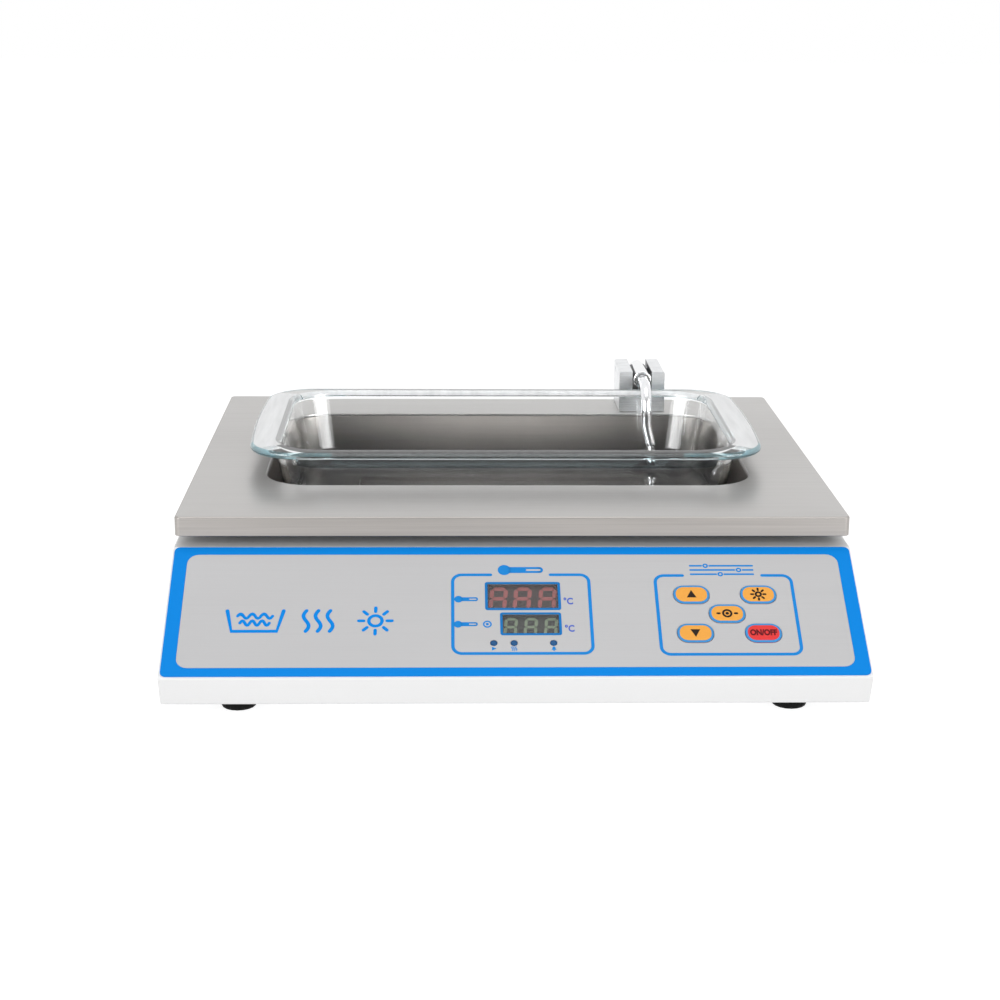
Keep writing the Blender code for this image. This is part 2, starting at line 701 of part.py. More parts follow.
def build_feet(rubber, steel):
    top = Z_BASE - SEAT
    recess = FOOT_RECESS_DEPTH
    hole = FOOT_SCREW_RADIUS + SCREW_CLEARANCE
    profile = [
        (FOOT_TOP_RADIUS, top),
        (FOOT_BOTTOM_RADIUS + FOOT_EDGE / 2, FOOT_EDGE),
        (FOOT_BOTTOM_RADIUS, 0.0),
        (FOOT_RECESS_RADIUS, 0.0),
        (FOOT_RECESS_RADIUS, recess),
        (hole, recess),
        (hole, top),
    ]
    for name, place in FOOT_PLACES.items():
        foot = smoothed(lathe("foot", profile, ring=True))
        piece("foot_" + name, foot, rubber, None, (*place, 0.0))
        end = Z_BASE_TOP + FOOT_SCREW_TAIL
        screw = screw_mesh(FOOT_SCREW_RADIUS, FOOT_SCREW_HEAD, recess - SEAT, end)
        piece("foot_screw_" + name, screw, steel, None, (*place, 0.0))
    for name, place in BASE_SCREW_PLACES.items():
        end = Z_BASE_TOP + SEAT + RAIL_HEIGHT + BASE_SCREW_TAIL
        screw = screw_mesh(BASE_SCREW_RADIUS, BASE_SCREW_HEAD, Z_BASE - SEAT, end)
        piece("base_screw_" + name, screw, steel, None, (*place, 0.0))


def screw_mesh(radius, head_radius, seat_z, end_z):
    """Upright screw with its head under seat_z and its end at end_z."""
    head_z = seat_z - SCREW_HEAD_HEIGHT
    profile = [
        (head_radius - SCREW_HEAD_EDGE, head_z),
        (head_radius, head_z + SCREW_HEAD_EDGE),
        (head_radius, seat_z),
        (radius, seat_z),
        (radius, end_z - SCREW_HEAD_EDGE),
        (radius - SCREW_HEAD_EDGE, end_z),
    ]
    return smoothed(lathe("screw", profile, count=SCREW_COUNT))


# Plate, spacer and tub

def build_plate(steel, zinc):
    outer = []
    for step in range(EDGE_STEPS + 1):
        turn = math.pi / 2 * step / EDGE_STEPS
        inset = PLATE_FOLD_RADIUS * (1 - math.sin(turn))
        outer.append((inset, Z_PLATE - PLATE_FOLD_RADIUS * (1 - math.cos(turn))))
    rim = []
    for step in range(EDGE_STEPS + 1):
        turn = math.pi / 2 * step / EDGE_STEPS
        grow = OPENING_ROUND * (1 - math.sin(turn))
        rim.append((grow, Z_PLATE - OPENING_ROUND * (1 - math.cos(turn))))

    def plate_loop(inset, z):
        width = PLATE_WIDTH - 2 * inset
        depth = PLATE_DEPTH - 2 * inset
        radius = max(PLATE_CORNER - inset, PLATE_CORNER / 4)
        return level(rounded_rect(width, depth, radius, (0.0, Y_PLATE_CENTRE)), z)

    loops = [plate_loop(inset, z) for inset, z in outer]
    loops.append(plate_loop(0.0, Z_PLATE_BASE))
    loops.append(plate_loop(PLATE_SHEET, Z_PLATE_BASE))
    loops.append(plate_loop(PLATE_SHEET, Z_SHEET))
    loops.append(level(opening_outline(0.0, Y_OPENING), Z_SHEET))
    loops += [level(opening_outline(grow, Y_OPENING), z) for grow, z in reversed(rim)]
    plate = piece("top_plate", smoothed(loft("top_plate", loops, ring=True)), steel)

    end = Z_TOP - CASING_WALL - SEAT - NUT_HEIGHT - STUD_TAIL
    studs = [slab("stud", circle(STUD_RADIUS, place, SCREW_COUNT), end, Z_SHEET + WELD)
             for place in STUD_PLACES.values()]
    combine(plate, guide("plate_studs", joined("plate_studs", studs)), "UNION")

    low = Z_SHEET - OVERRUN
    high = Z_PLATE + OVERRUN
    hole = BLOCK_SCREW_RADIUS + SCREW_CLEARANCE
    holes = [slab("screw_cut", circle(hole, place, SCREW_COUNT), low, high) for place in block_screws()]
    holes.append(slab("lead_cut", circle(LEAD_HOLE_RADIUS, (PROBE_X, LEAD_Y), SCREW_COUNT), low, high))
    combine(plate, guide("plate_holes", joined("plate_holes", holes)))

    top = Z_TOP - CASING_WALL - SEAT
    for name, place in STUD_PLACES.items():
        bore = circle(STUD_RADIUS + NUT_CLEARANCE, count=SMALL_COUNT)
        low = top - NUT_HEIGHT
        flats = hexagon(NUT_ACROSS)
        loops = [level(flats, low), level(flats, top), level(bore, top), level(bore, low)]
        piece("plate_nut_" + name, loft("plate_nut", loops, ring=True), zinc, None, (*place, 0.0))


def build_spacer(black):
    front = STUD_FRONT - SPACER_BEFORE_STUD
    back = STUD_BACK + SPACER_BEHIND_STUD
    width = 2 * (STUD_SIDE + SPACER_BESIDE_STUD)
    outline = rounded_rect(width, back - front, SPACER_CORNER, (0.0, (front + back) / 2))
    holes = [well_cut(TUB_CLEARANCE, SPACER_CORNER)]
    for place in STUD_PLACES.values():
        holes.append(circle(STUD_RADIUS + STUD_CLEARANCE, place, SCREW_COUNT))
    top = Z_TUB_TOP - TUB_SHEET - SEAT
    piece("spacer_frame", slab("spacer_frame", outline, Z_TOP + SEAT, top, holes), black)


def build_tub(steel, coated):
    """Tub: a steel wall with a flange under the plate, and a hot plate that closes it below."""
    wall = opening_outline(TUB_SHEET, Y_OPENING)
    inside = opening_outline(0.0, Y_OPENING)
    flange = opening_outline(TUB_FLANGE, Y_OPENING)
    loops = [
        level(inside, Z_TUB_TOP),
        level(inside, Z_TUB_UNDER),
        level(wall, Z_TUB_UNDER),
        level(wall, Z_TUB_TOP - TUB_SHEET),
        level(flange, Z_TUB_TOP - TUB_SHEET),
        level(flange, Z_TUB_TOP),
    ]
    piece("well_tub", smoothed(loft("well_tub", loops, ring=True)), steel)

    outline = opening_outline(-SEAT, Y_OPENING)
    cut = rounded_rect(WINDOW_CUT_WIDTH, WINDOW_CUT_DEPTH, WINDOW_CUT_CORNER, (0.0, Y_OPENING))
    piece("hot_plate", slab("hot_plate", outline, Z_TUB_UNDER, Z_TUB_FLOOR, [cut]), coated)


def tray_mouth():
    """Width and depth inside the light tray."""
    spare = 2 * (WINDOW_LAP + WINDOW_CLEARANCE)
    return WINDOW_CUT_WIDTH + spare, WINDOW_CUT_DEPTH + spare


def mat_size():
    """Width and depth of the heater mat, which reaches out past the tray's flange."""
    width, depth = tray_mouth()
    lap = 2 * (TRAY_SHEET + TRAY_FLANGE)
    return width + lap + 2 * MAT_SIDE_BAND, depth + lap + 2 * MAT_END_BAND


def build_heater_and_light(silicone, smoked, white):
    centre = (0.0, Y_OPENING)
    top = Z_TUB_UNDER - SEAT
    width = WINDOW_CUT_WIDTH + 2 * WINDOW_LAP
    depth = WINDOW_CUT_DEPTH + 2 * WINDOW_LAP
    window = rounded_rect(width, depth, WINDOW_CUT_CORNER, centre, SMALL_STEPS)
    piece("light_window", slab("light_window", window, top - WINDOW_THICKNESS, top), smoked)

    mouth_width, mouth_depth = tray_mouth()
    mouth = rounded_rect(mouth_width, mouth_depth, WINDOW_CUT_CORNER, centre, SMALL_STEPS)
    outline = rounded_rect(*mat_size(), MAT_CORNER, centre, SMALL_STEPS)
    piece("heater_mat", slab("heater_mat", outline, Z_MAT_UNDER, top, [mouth]), silicone)

    tray_top = Z_MAT_UNDER - SEAT
    tray_floor = tray_top - TRAY_DEPTH
    wall = 2 * TRAY_SHEET
    corner = WINDOW_CUT_CORNER + TRAY_SHEET
    body = rounded_rect(mouth_width + wall, mouth_depth + wall, corner, centre, SMALL_STEPS)
    lap = wall + 2 * TRAY_FLANGE
    flange = rounded_rect(mouth_width + lap, mouth_depth + lap, MAT_CORNER, centre, SMALL_STEPS)
    loops = [
        level(body, tray_floor - TRAY_SHEET),
        level(body, tray_top - TRAY_SHEET),
        level(flange, tray_top - TRAY_SHEET),
        level(flange, tray_top),
        level(mouth, tray_top),
        level(mouth, tray_floor),
    ]
    piece("light_tray", loft("light_tray", loops), white)

    for name, side in (("front", -1), ("back", 1)):
        place = (0.0, Y_OPENING + side * (mouth_depth / 2 - STRIP_FROM_WALL), tray_floor + SEAT)
        turn = (math.pi / 2, 0.0, 0.0)
        piece("led_strip_" + name, strip_mesh(), white, None, place, turn)


def strip_mesh():
    """Light strip seen from the front, extruded along its width: a board with raised lamps."""
    start = STRIP_END_GAP - tray_mouth()[0] / 2
    pitch = -2 * start / LAMP_COUNT
    raised = STRIP_THICKNESS + LAMP_HEIGHT
    top = [(start, STRIP_THICKNESS)]
    for i in range(LAMP_COUNT):
        middle = start + pitch * (i + 0.5)
        left = middle - LAMP_LENGTH / 2
        right = middle + LAMP_LENGTH / 2
        top += [(left, STRIP_THICKNESS), (left, raised), (right, raised), (right, STRIP_THICKNESS)]
    top.append((-start, STRIP_THICKNESS))
    outline = [(start, 0.0), (-start, 0.0), *reversed(top)]
    return slab("led_strip", outline, -STRIP_WIDTH / 2, STRIP_WIDTH / 2)


# Dish

def dish_loop(width, depth, radius, bulge, z):
    outline = rounded_rect(width, depth, radius, bulge=bulge, side_steps=DISH_SIDE_STEPS)
    return level(outline, z)


def build_dish(glass):
    """Pressed glass dish: its rim widens into a ledge at each end, where it is lifted."""
    rim_z = DISH_HEIGHT
    under_z = rim_z - DISH_RIM
    body_width = DISH_BODY_LENGTH
    body_depth = DISH_BODY_DEPTH
    loops = []

    outer_radius = DISH_FLOOR_RADIUS + DISH_WALL
    for step in range(EDGE_STEPS + 2):
        turn = math.pi / 2 * step / (EDGE_STEPS + 1)
        z = outer_radius * (1 - math.cos(turn))
        shrink = outer_radius * (1 - math.sin(turn)) + DISH_TAPER * (1 - z / under_z)
        width = body_width - 2 * shrink
        depth = body_depth - 2 * shrink
        loops.append(dish_loop(width, depth, DISH_BODY_CORNER - shrink / 2, 0.0, z))
    loops.append(dish_loop(body_width, body_depth, DISH_BODY_CORNER, 0.0, under_z))

    for step in range(2 * EDGE_STEPS + 1):
        turn = math.pi * step / (2 * EDGE_STEPS) - math.pi / 2
        inset = DISH_RIM_ROUND * (1 - math.cos(turn))
        middle = (rim_z + under_z - DISH_LEDGE_SLOPE) / 2
        z = middle + (DISH_RIM - DISH_LEDGE_SLOPE) / 2 * math.sin(turn)
        width = DISH_LENGTH - 2 * inset
        depth = DISH_DEPTH - 2 * inset
        loops.append(dish_loop(width, depth, DISH_CORNER - inset, DISH_END_BULGE, z))

    inner_width = body_width - 2 * DISH_WALL
    inner_depth = body_depth - 2 * DISH_WALL
    ledge = 2 * DISH_INNER_LEDGE
    radius = DISH_BODY_CORNER - DISH_WALL
    loops.append(dish_loop(inner_width + ledge, body_depth, radius + DISH_INNER_LEDGE / 2, 0.0, rim_z))
    drop = DISH_RIM_ROUND
    loops.append(dish_loop(inner_width + ledge / 4, inner_depth + drop, radius, 0.0, rim_z - drop))
    inner_top = rim_z - DISH_RIM
    loops.append(dish_loop(inner_width, inner_depth, radius, 0.0, inner_top))

    fall = inner_top - DISH_FLOOR
    for step in range(EDGE_STEPS + 2):
        turn = math.pi / 2 * step / (EDGE_STEPS + 1)
        z = DISH_FLOOR + DISH_FLOOR_RADIUS * (1 - math.sin(turn))
        shrink = DISH_FLOOR_RADIUS * (1 - math.cos(turn)) + DISH_TAPER * (1 - (z - DISH_FLOOR) / fall)
        width = inner_width - 2 * shrink
        depth = inner_depth - 2 * shrink
        loops.append(dish_loop(width, depth, radius - shrink / 2, 0.0, z))
    dish = smoothed(loft("glass_dish", loops), GLASS_SMOOTH_ANGLE)
    piece("glass_dish", dish, glass, None, (0.0, Y_DISH, Z_DISH))


# Probe

def block_screws():
    return [(PROBE_X + side * BLOCK_SCREW_SPACING / 2, BLOCK_SCREW_Y) for side in (-1, 1)]


def build_probe(aluminium, chrome, zinc, lead_black):
    half = BLOCK_WIDTH / 2
    groove = GROOVE_WIDTH / 2
    low = SEAT
    round_x = BLOCK_EDGE_ROUND
    top = PIVOT_Z - Z_PLATE + BLOCK_ABOVE_AXIS
    bottom = PIVOT_Z - Z_PLATE - SLEEVE_RADIUS - GROOVE_UNDER_GAP
    outline = [
        (-half, low), (half, low), (half, top - round_x), (half - round_x, top),
        (groove, top), (groove, bottom), (-groove, bottom), (-groove, top),
        (round_x - half, top), (-half, top - round_x),
    ]
    turn = (math.pi / 2, 0.0, 0.0)
    mesh = slab("probe_block", outline, 0.0, BLOCK_BACK - BLOCK_FRONT)
    block = piece("probe_block", mesh, aluminium, None, (PROBE_X, BLOCK_BACK, Z_PLATE), turn)
    bore = circle(PIVOT_RADIUS + PIVOT_CLEARANCE, count=SCREW_COUNT)
    hole = slab("pin_cut", bore, -half - OVERRUN, half + OVERRUN)
    pivot = (PROBE_X, PIVOT_Y, PIVOT_Z)
    combine(block, guide("block_pin_cut", hole, None, pivot, (0.0, math.pi / 2, 0.0)))
    depth = BLOCK_SCREW_DEPTH + SEAT
    radius = BLOCK_SCREW_RADIUS + SCREW_CLEARANCE
    cuts = [slab("screw_cut", circle(radius, place, SCREW_COUNT), Z_PLATE - OVERRUN, Z_PLATE + depth)
            for place in block_screws()]
    combine(block, guide("block_screw_cuts", joined("block_screw_cuts", cuts)))

    pin = slab("pivot_pin", circle(PIVOT_RADIUS, count=SCREW_COUNT), SEAT - half, half - SEAT)
    piece("pivot_pin", smoothed(pin), zinc, None, pivot, (0.0, math.pi / 2, 0.0))

    for name, (x, y) in zip(("left", "right"), block_screws()):
        seat_z = Z_SHEET - SEAT
        end = Z_PLATE + BLOCK_SCREW_DEPTH
        screw = screw_mesh(BLOCK_SCREW_RADIUS, BLOCK_SCREW_HEAD, seat_z, end)
        piece("block_screw_" + name, screw, zinc, None, (x, y, 0.0))

    arm = bpy.data.objects.new("probe_axis", None)
    arm.location = pivot
    bpy.context.scene.collection.objects.link(arm)
    sleeve_front = PIVOT_Y - BLOCK_FRONT + SLEEVE_PROUD
    build_sleeve(arm, chrome, sleeve_front)
    build_rod(arm, chrome, sleeve_front)
    build_lead(lead_black)


def build_sleeve(arm, chrome, front):
    """Sleeve along the arm: its back end has a rounded edge that clears the groove as it swings."""
    profile = [(SLEEVE_BORE_RADIUS, front - SLEEVE_BORE_DEPTH), (SLEEVE_BORE_RADIUS, front)]
    profile.append((SLEEVE_RADIUS - SLEEVE_EDGE, front))
    profile.append((SLEEVE_RADIUS, front - SLEEVE_EDGE))
    flat = SLEEVE_RADIUS - SLEEVE_BACK_ROUND
    for step in range(BALL_STEPS + 1):
        turn = math.pi / 2 * step / BALL_STEPS
        out, back = SLEEVE_BACK_ROUND * math.cos(turn), SLEEVE_BACK_ROUND * math.sin(turn)
        profile.append((flat + out, -flat - back))
    mesh = smoothed(lathe("probe_sleeve", profile))
    sleeve = piece("probe_sleeve", mesh, chrome, arm, (0.0, 0.0, 0.0), (math.pi / 2, 0.0, 0.0))
    reach = SLEEVE_RADIUS + OVERRUN
    hole = slab("sleeve_cut", circle(PIVOT_RADIUS + PIVOT_CLEARANCE, count=SCREW_COUNT), -reach, reach)
    combine(sleeve, guide("sleeve_pin_cut", hole, arm, (0.0, 0.0, 0.0), (0.0, math.pi / 2, 0.0)))


def build_rod(arm, chrome, sleeve_front):
    """Rod from the sleeve's bore, bent down into the dish, with a ball on its neck."""
    start = sleeve_front - SLEEVE_BORE_DEPTH + SEAT
    bend = ROD_BEND_RADIUS
    stations = [(start, 0.0, 0.0, ROD_RADIUS)]
    for step in range(ROD_BEND_STEPS + 1):
        turn = math.pi / 2 * step / ROD_BEND_STEPS
        forward = ROD_REACH - bend + bend * math.sin(turn)
        down = bend - bend * math.cos(turn)
        stations.append((forward, down, turn, ROD_RADIUS))
    ball = ROD_BALL_RADIUS
    neck_angle = math.asin(ROD_NECK_RADIUS / ball)
    ball_centre = ROD_DROP - ball
    neck_end = ball_centre - ball * math.cos(neck_angle)
    shoulder = neck_end - ball
    down_turn = math.pi / 2
    stations.append((ROD_REACH, shoulder, down_turn, ROD_RADIUS))
    stations.append((ROD_REACH, shoulder + ROD_RADIUS - ROD_NECK_RADIUS, down_turn, ROD_NECK_RADIUS))
    for step in range(BALL_STEPS):
        turn = neck_angle + (math.pi - neck_angle) * step / BALL_STEPS
        down = ball_centre - ball * math.cos(turn)
        stations.append((ROD_REACH, down, down_turn, ball * math.sin(turn)))
    loops = []
    for forward, down, turn, radius in stations:
        loop = []
        for x, y in circle(radius, count=SCREW_COUNT):
            loop.append((x, -forward - y * math.sin(turn), -down + y * math.cos(turn)))
        loops.append(loop)
    piece("probe_rod", smoothed(loft("probe_rod", loops)), chrome, arm)


def build_lead(black):
    """Sensor lead: down through the plate and the casing's top, under the tray to the board."""
    turn = SLOPE_ANGLE
    v = LEAD_TURN
    h = H_BOARD - BOARD_THICKNESS - SEAT
    end_y = Y_FOLD + v * math.cos(turn) - h * math.sin(turn)
    end = Vector((end_y, Z_FOLD + v * math.sin(turn) + h * math.cos(turn)))
    out = Vector((math.sin(turn), -math.cos(turn)))
    low = Z_BASE_TOP + LEAD_ABOVE_BASE + LEAD_RADIUS
    route = [
        Vector((LEAD_Y, Z_PLATE)),
        Vector((LEAD_Y, Z_TOP)),
        Vector((LEAD_Y, Z_TOP - LEAD_TURN)),
        Vector((LEAD_Y - LEAD_TURN / 4, low + LEAD_TURN / 3)),
        Vector((LEAD_Y - LEAD_TURN, low)),
        Vector((Y_OPENING, low)),
        Vector((Y_TOP, low)),
        Vector((end.x + LEAD_TURN, low)),
        end + out * LEAD_TURN / 3,
        end,
    ]
    points = [route[0]]
    for i in range(len(route) - 1):
        before = route[max(i - 1, 0)]
        after = route[min(i + 2, len(route) - 1)]
        for step in range(1, LEAD_STEPS + 1):
            points.append(spline_point(before, route[i], route[i + 1], after, step / LEAD_STEPS))
    curve = bpy.data.curves.new("probe_lead", "CURVE")
    curve.dimensions = "3D"
    curve.bevel_depth = LEAD_RADIUS
    curve.bevel_resolution = 2
    curve.use_fill_caps = True
    spline = curve.splines.new("POLY")
    spline.points.add(len(points) - 1)
    for slot, point in zip(spline.points, points):
        slot.co = (PROBE_X, point.x, point.y, 1.0)
    piece("probe_lead", curve, black)


def spline_point(before, start, end, after, share):
    """Point on a smooth curve from start to end that keeps the run of its neighbours."""
    leave = (end - before) / 2
    arrive = (after - start) / 2
    square = share * share
    cube = square * share
    return (start * (2 * cube - 3 * square + 1) + leave * (cube - 2 * square + share)
            + end * (3 * square - 2 * cube) + arrive * (cube - square))


# Front panel

def display_outline(width, height, centre, clearance=0.0):
    grow = 2 * clearance
    return rounded_rect(width + grow, height + grow, DISPLAY_CORNER + clearance, centre, SMALL_STEPS)


def upper_outline(clearance=0.0):
    centre = (UPPER_DISPLAY_U, UPPER_DISPLAY_V)
    return display_outline(UPPER_DISPLAY_WIDTH, UPPER_DISPLAY_HEIGHT, centre, clearance)


def lower_outline(clearance=0.0):
    centre = (LOWER_DISPLAY_U, LOWER_DISPLAY_V)
    return display_outline(LOWER_DISPLAY_WIDTH, LOWER_DISPLAY_HEIGHT, centre, clearance)


def key_outline(grow, centre=(0.0, 0.0)):
    return rounded_rect(KEY_WIDTH + 2 * grow, KEY_HEIGHT + 2 * grow, KEY_CORNER + grow, centre)


def panel_holes():
    """Holes that the panel and its faceplate share."""
    holes = [upper_outline(DISPLAY_CLEARANCE), lower_outline(DISPLAY_CLEARANCE)]
    for u in INDICATOR_PLACES.values():
        holes.append(circle(INDICATOR_RADIUS + INDICATOR_CLEARANCE, (u, INDICATOR_V), SCREW_COUNT))
    holes += [key_outline(KEY_CLEARANCE, place) for place in KEY_PLACES.values()]
    return holes


def build_overlay(panel, blue, brushed):
    centre = (0.0, OVERLAY_V)
    outline = rounded_rect(OVERLAY_WIDTH, OVERLAY_HEIGHT, OVERLAY_CORNER, centre)
    width = OVERLAY_WIDTH - 2 * BORDER_SIDE
    height = OVERLAY_HEIGHT - 2 * BORDER_EDGE
    window = rounded_rect(width, height, FACEPLATE_CORNER, centre)
    border = slab("overlay_border", outline, FILM_GAP, H_OVERLAY_TOP, [window])
    piece("overlay_border", border, blue, panel)
    width -= 2 * FILM_GAP
    height -= 2 * FILM_GAP
    face = rounded_rect(width, height, FACEPLATE_CORNER - FILM_GAP, centre)
    mesh = slab("overlay_faceplate", face, FILM_GAP, H_OVERLAY_TOP, panel_holes())
    piece("overlay_faceplate", mesh, brushed, panel)


def build_displays(panel, red_glass, green_glass, module_black):
    upper = slab("upper_window", upper_outline(), -CASING_WALL, H_OVERLAY_TOP)
    lower = slab("lower_window", lower_outline(), -CASING_WALL, H_OVERLAY_TOP)
    piece("upper_display_window", upper, red_glass, panel)
    piece("lower_display_window", lower, green_glass, panel)
    low = H_BOARD + SEAT
    top = H_BEHIND_WALL
    upper = slab("upper_module", upper_outline(MODULE_BORDER), low, top)
    lower = slab("lower_module", lower_outline(MODULE_BORDER), low, top)
    piece("upper_display_module", upper, module_black, panel)
    piece("lower_display_module", lower, module_black, panel)


def build_indicators(panel, lens):
    top = H_OVERLAY_TOP
    profile = [(INDICATOR_RADIUS, H_BOARD + SEAT), (INDICATOR_RADIUS, top)]
    for radius_share, rise_share in DOME_SHARES:
        profile.append((INDICATOR_RADIUS * radius_share, top + INDICATOR_DOME * rise_share))
    for name, u in INDICATOR_PLACES.items():
        mesh = smoothed(lathe("indicator", profile, count=SCREW_COUNT), DOME_SMOOTH_ANGLE)
        piece("indicator_" + name, mesh, lens, panel, (u, INDICATOR_V, 0.0))


def build_keys(panel, orange, red, switch_black):
    flange_low = H_BEHIND_WALL - KEY_FLANGE_THICKNESS
    top = H_OVERLAY_TOP + KEY_PROUD
    stem = circle(KEY_STEM_RADIUS)
    key_loops = [
        level(stem, H_KEY_STEM),
        level(stem, flange_low),
        level(key_outline(KEY_FLANGE), flange_low),
        level(key_outline(KEY_FLANGE), H_BEHIND_WALL),
        level(key_outline(0.0), H_BEHIND_WALL),
        level(key_outline(0.0), top - KEY_CROWN),
        level(key_outline(-KEY_CROWN), top),
    ]
    plunger = circle(SWITCH_PLUNGER_RADIUS, count=SMALL_COUNT)
    body = rounded_rect(SWITCH_SIDE, SWITCH_SIDE, SWITCH_CORNER, steps=SMALL_STEPS)
    switch_loops = [
        level(body, H_SWITCH_BASE),
        level(body, H_SWITCH_BODY),
        level(plunger, H_SWITCH_BODY),
        level(plunger, H_SWITCH_TOP),
    ]
    for name, (u, v) in KEY_PLACES.items():
        colour = red if name == "power" else orange
        piece("key_" + name, smoothed(loft("key", key_loops)), colour, panel, (u, v, 0.0))
        piece("switch_" + name, smoothed(loft("switch", switch_loops)), switch_black, panel, (u, v, 0.0))


def build_board(panel, green):
    width = BOARD_RIGHT - BOARD_LEFT
    height = BOARD_TOP - BOARD_BOTTOM
    centre = ((BOARD_LEFT + BOARD_RIGHT) / 2, (BOARD_BOTTOM + BOARD_TOP) / 2)
    outline = rounded_rect(width, height, BOARD_CORNER, centre, SMALL_STEPS)
    mesh = slab("control_board", outline, H_BOARD - BOARD_THICKNESS, H_BOARD)
    piece("control_board", mesh, green, panel)


# Supply, cut-out and inlet

def build_supply(core_steel, cutout_black):
    low = Z_BASE_TOP + SEAT
    outline = rounded_rect(CORE_WIDTH, CORE_DEPTH, CORE_CORNER, steps=SMALL_STEPS)
    core = slab("core", outline, 0.0, CORE_HEIGHT)
    coil_low = (CORE_HEIGHT - COIL_HEIGHT) / 2
    outline = rounded_rect(COIL_WIDTH, COIL_DEPTH, COIL_CORNER, steps=SMALL_STEPS)
    coil = slab("coil", outline, coil_low, coil_low + COIL_HEIGHT)
    place = (SUPPLY_X, Y_BACK - SUPPLY_BEFORE_BACK, low)
    transformer = piece("transformer", core, core_steel, None, place)
    combine(transformer, guide("transformer_coil", coil, None, place), "UNION")

    top = Z_MAT_UNDER - SEAT
    centre = (mat_size()[0] / 2 - CUTOUT_WIDTH / 2 - CUTOUT_INSET, Y_OPENING)
    outline = rounded_rect(CUTOUT_WIDTH, CUTOUT_LENGTH, CUTOUT_CORNER, centre, SMALL_STEPS)
    piece("thermal_cutout", slab("thermal_cutout", outline, top - CUTOUT_HEIGHT, top), cutout_black)


def inlet_place():
    return (INLET_X, Y_BACK, Z_LIP + INLET_ABOVE_LIP)


def inlet_turn():
    """Turns a shape's Z to the back, with its Y down."""
    return (-math.pi / 2, 0.0, 0.0)


def build_inlet(black):
    steps = SMALL_STEPS
    corner = INLET_BODY_CORNER
    body = rounded_rect(INLET_BODY_WIDTH, INLET_BODY_HEIGHT, corner, steps=steps)
    lap = 2 * INLET_FLANGE_LAP
    flange = rounded_rect(INLET_BODY_WIDTH + lap, INLET_BODY_HEIGHT + lap, corner, steps=steps)
    cavity = rounded_rect(INLET_CAVITY_WIDTH, INLET_CAVITY_HEIGHT, INLET_CAVITY_CORNER, steps=steps)
    front = INLET_FLANGE
    floor = front - INLET_CAVITY_DEPTH
    loops = [
        level(body, front - INLET_LENGTH),
        level(body, SEAT),
        level(flange, SEAT),
        level(flange, front),
        level(cavity, front),
        level(cavity, floor),
    ]
    inlet = piece("power_inlet", loft("power_inlet", loops), black, None, inlet_place(), inlet_turn())
    pins = []
    for x, y in ((-PIN_SPACING / 2, PIN_OFFSET), (PIN_SPACING / 2, PIN_OFFSET), (0.0, -PIN_OFFSET)):
        outline = rounded_rect(PIN_WIDTH, PIN_HEIGHT, PIN_CORNER, (x, y), SMALL_STEPS)
        pins.append(slab("pin", outline, floor - WELD, floor + PIN_LENGTH))
    pins = joined("inlet_pins", pins)
    combine(inlet, guide("inlet_pins", pins, None, inlet_place(), inlet_turn()), "UNION")


def main():
    clear_scene()
    paint = finish("white_paint", (0.90, 0.90, 0.90), 0.42)
    sheet_steel = finish("sheet_steel", (0.55, 0.56, 0.57), 0.45, 1.0)
    plate_steel = finish("plate_steel", (0.62, 0.60, 0.58), 0.36, 1.0)
    tub_steel = finish("tub_steel", (0.40, 0.38, 0.36), 0.35, 1.0)
    coated = finish("black_coat", (0.035, 0.036, 0.040), 0.35, 0.4)
    zinc = finish("zinc", (0.66, 0.67, 0.68), 0.32, 1.0)
    chrome = finish("chrome", (0.88, 0.89, 0.90), 0.06, 1.0)
    aluminium = finish("aluminium", (0.72, 0.73, 0.74), 0.38, 1.0)
    glass = finish("glass", (0.86, 0.95, 0.96), 0.03, 0.0, 0.3)
    rubber = finish("rubber", (0.02, 0.02, 0.02), 0.8)
    black = finish("black_plastic", (0.03, 0.03, 0.03), 0.5)
    blue = finish("blue_film", (0.01, 0.26, 0.80), 0.38)
    brushed = finish("brushed_film", (0.56, 0.56, 0.56), 0.42, 0.6)
    orange = finish("orange_key", (0.97, 0.44, 0.09), 0.42)
    red = finish("red_key", (0.77, 0.05, 0.05), 0.42)
    red_glass = finish("red_display_glass", (0.16, 0.07, 0.07), 0.12, 0.0, 0.8)
    green_glass = finish("green_display_glass", (0.09, 0.12, 0.09), 0.12, 0.0, 0.8)
    lens = finish("indicator_lens", (0.02, 0.10, 0.32), 0.2)
    smoked = finish("smoked_window", (0.05, 0.05, 0.055), 0.12)
    silicone = finish("heater_silicone", (0.62, 0.20, 0.10), 0.6)
    white = finish("white_plastic", (0.88, 0.88, 0.86), 0.5)
    board_green = finish("board_green", (0.02, 0.20, 0.09), 0.45)

    panel = bpy.data.objects.new("panel", None)
    panel.location = (0.0, Y_FOLD, Z_FOLD)
    panel.rotation_euler = (SLOPE_ANGLE, 0.0, 0.0)
    bpy.context.scene.collection.objects.link(panel)

    build_casing(panel, paint)
    build_base(sheet_steel)
    build_feet(rubber, zinc)
    build_plate(plate_steel, zinc)
    build_spacer(black)
    build_tub(tub_steel, coated)
    build_heater_and_light(silicone, smoked, white)
    build_dish(glass)
    build_probe(aluminium, chrome, zinc, black)
    build_overlay(panel, blue, brushed)
    build_displays(panel, red_glass, green_glass, black)
    build_indicators(panel, lens)
    build_keys(panel, orange, red, black)
    build_board(panel, board_green)
    build_supply(sheet_steel, black)
    build_inlet(black)


main()
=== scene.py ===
"""Looks of the heated, lit bench bath: finishes, finer skins, panel printing, light and camera.

Metres, +Z up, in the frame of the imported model. Panel printing is laid out on the sloping
panel: u runs to the right, v up the slope and h out of it.
"""

import math

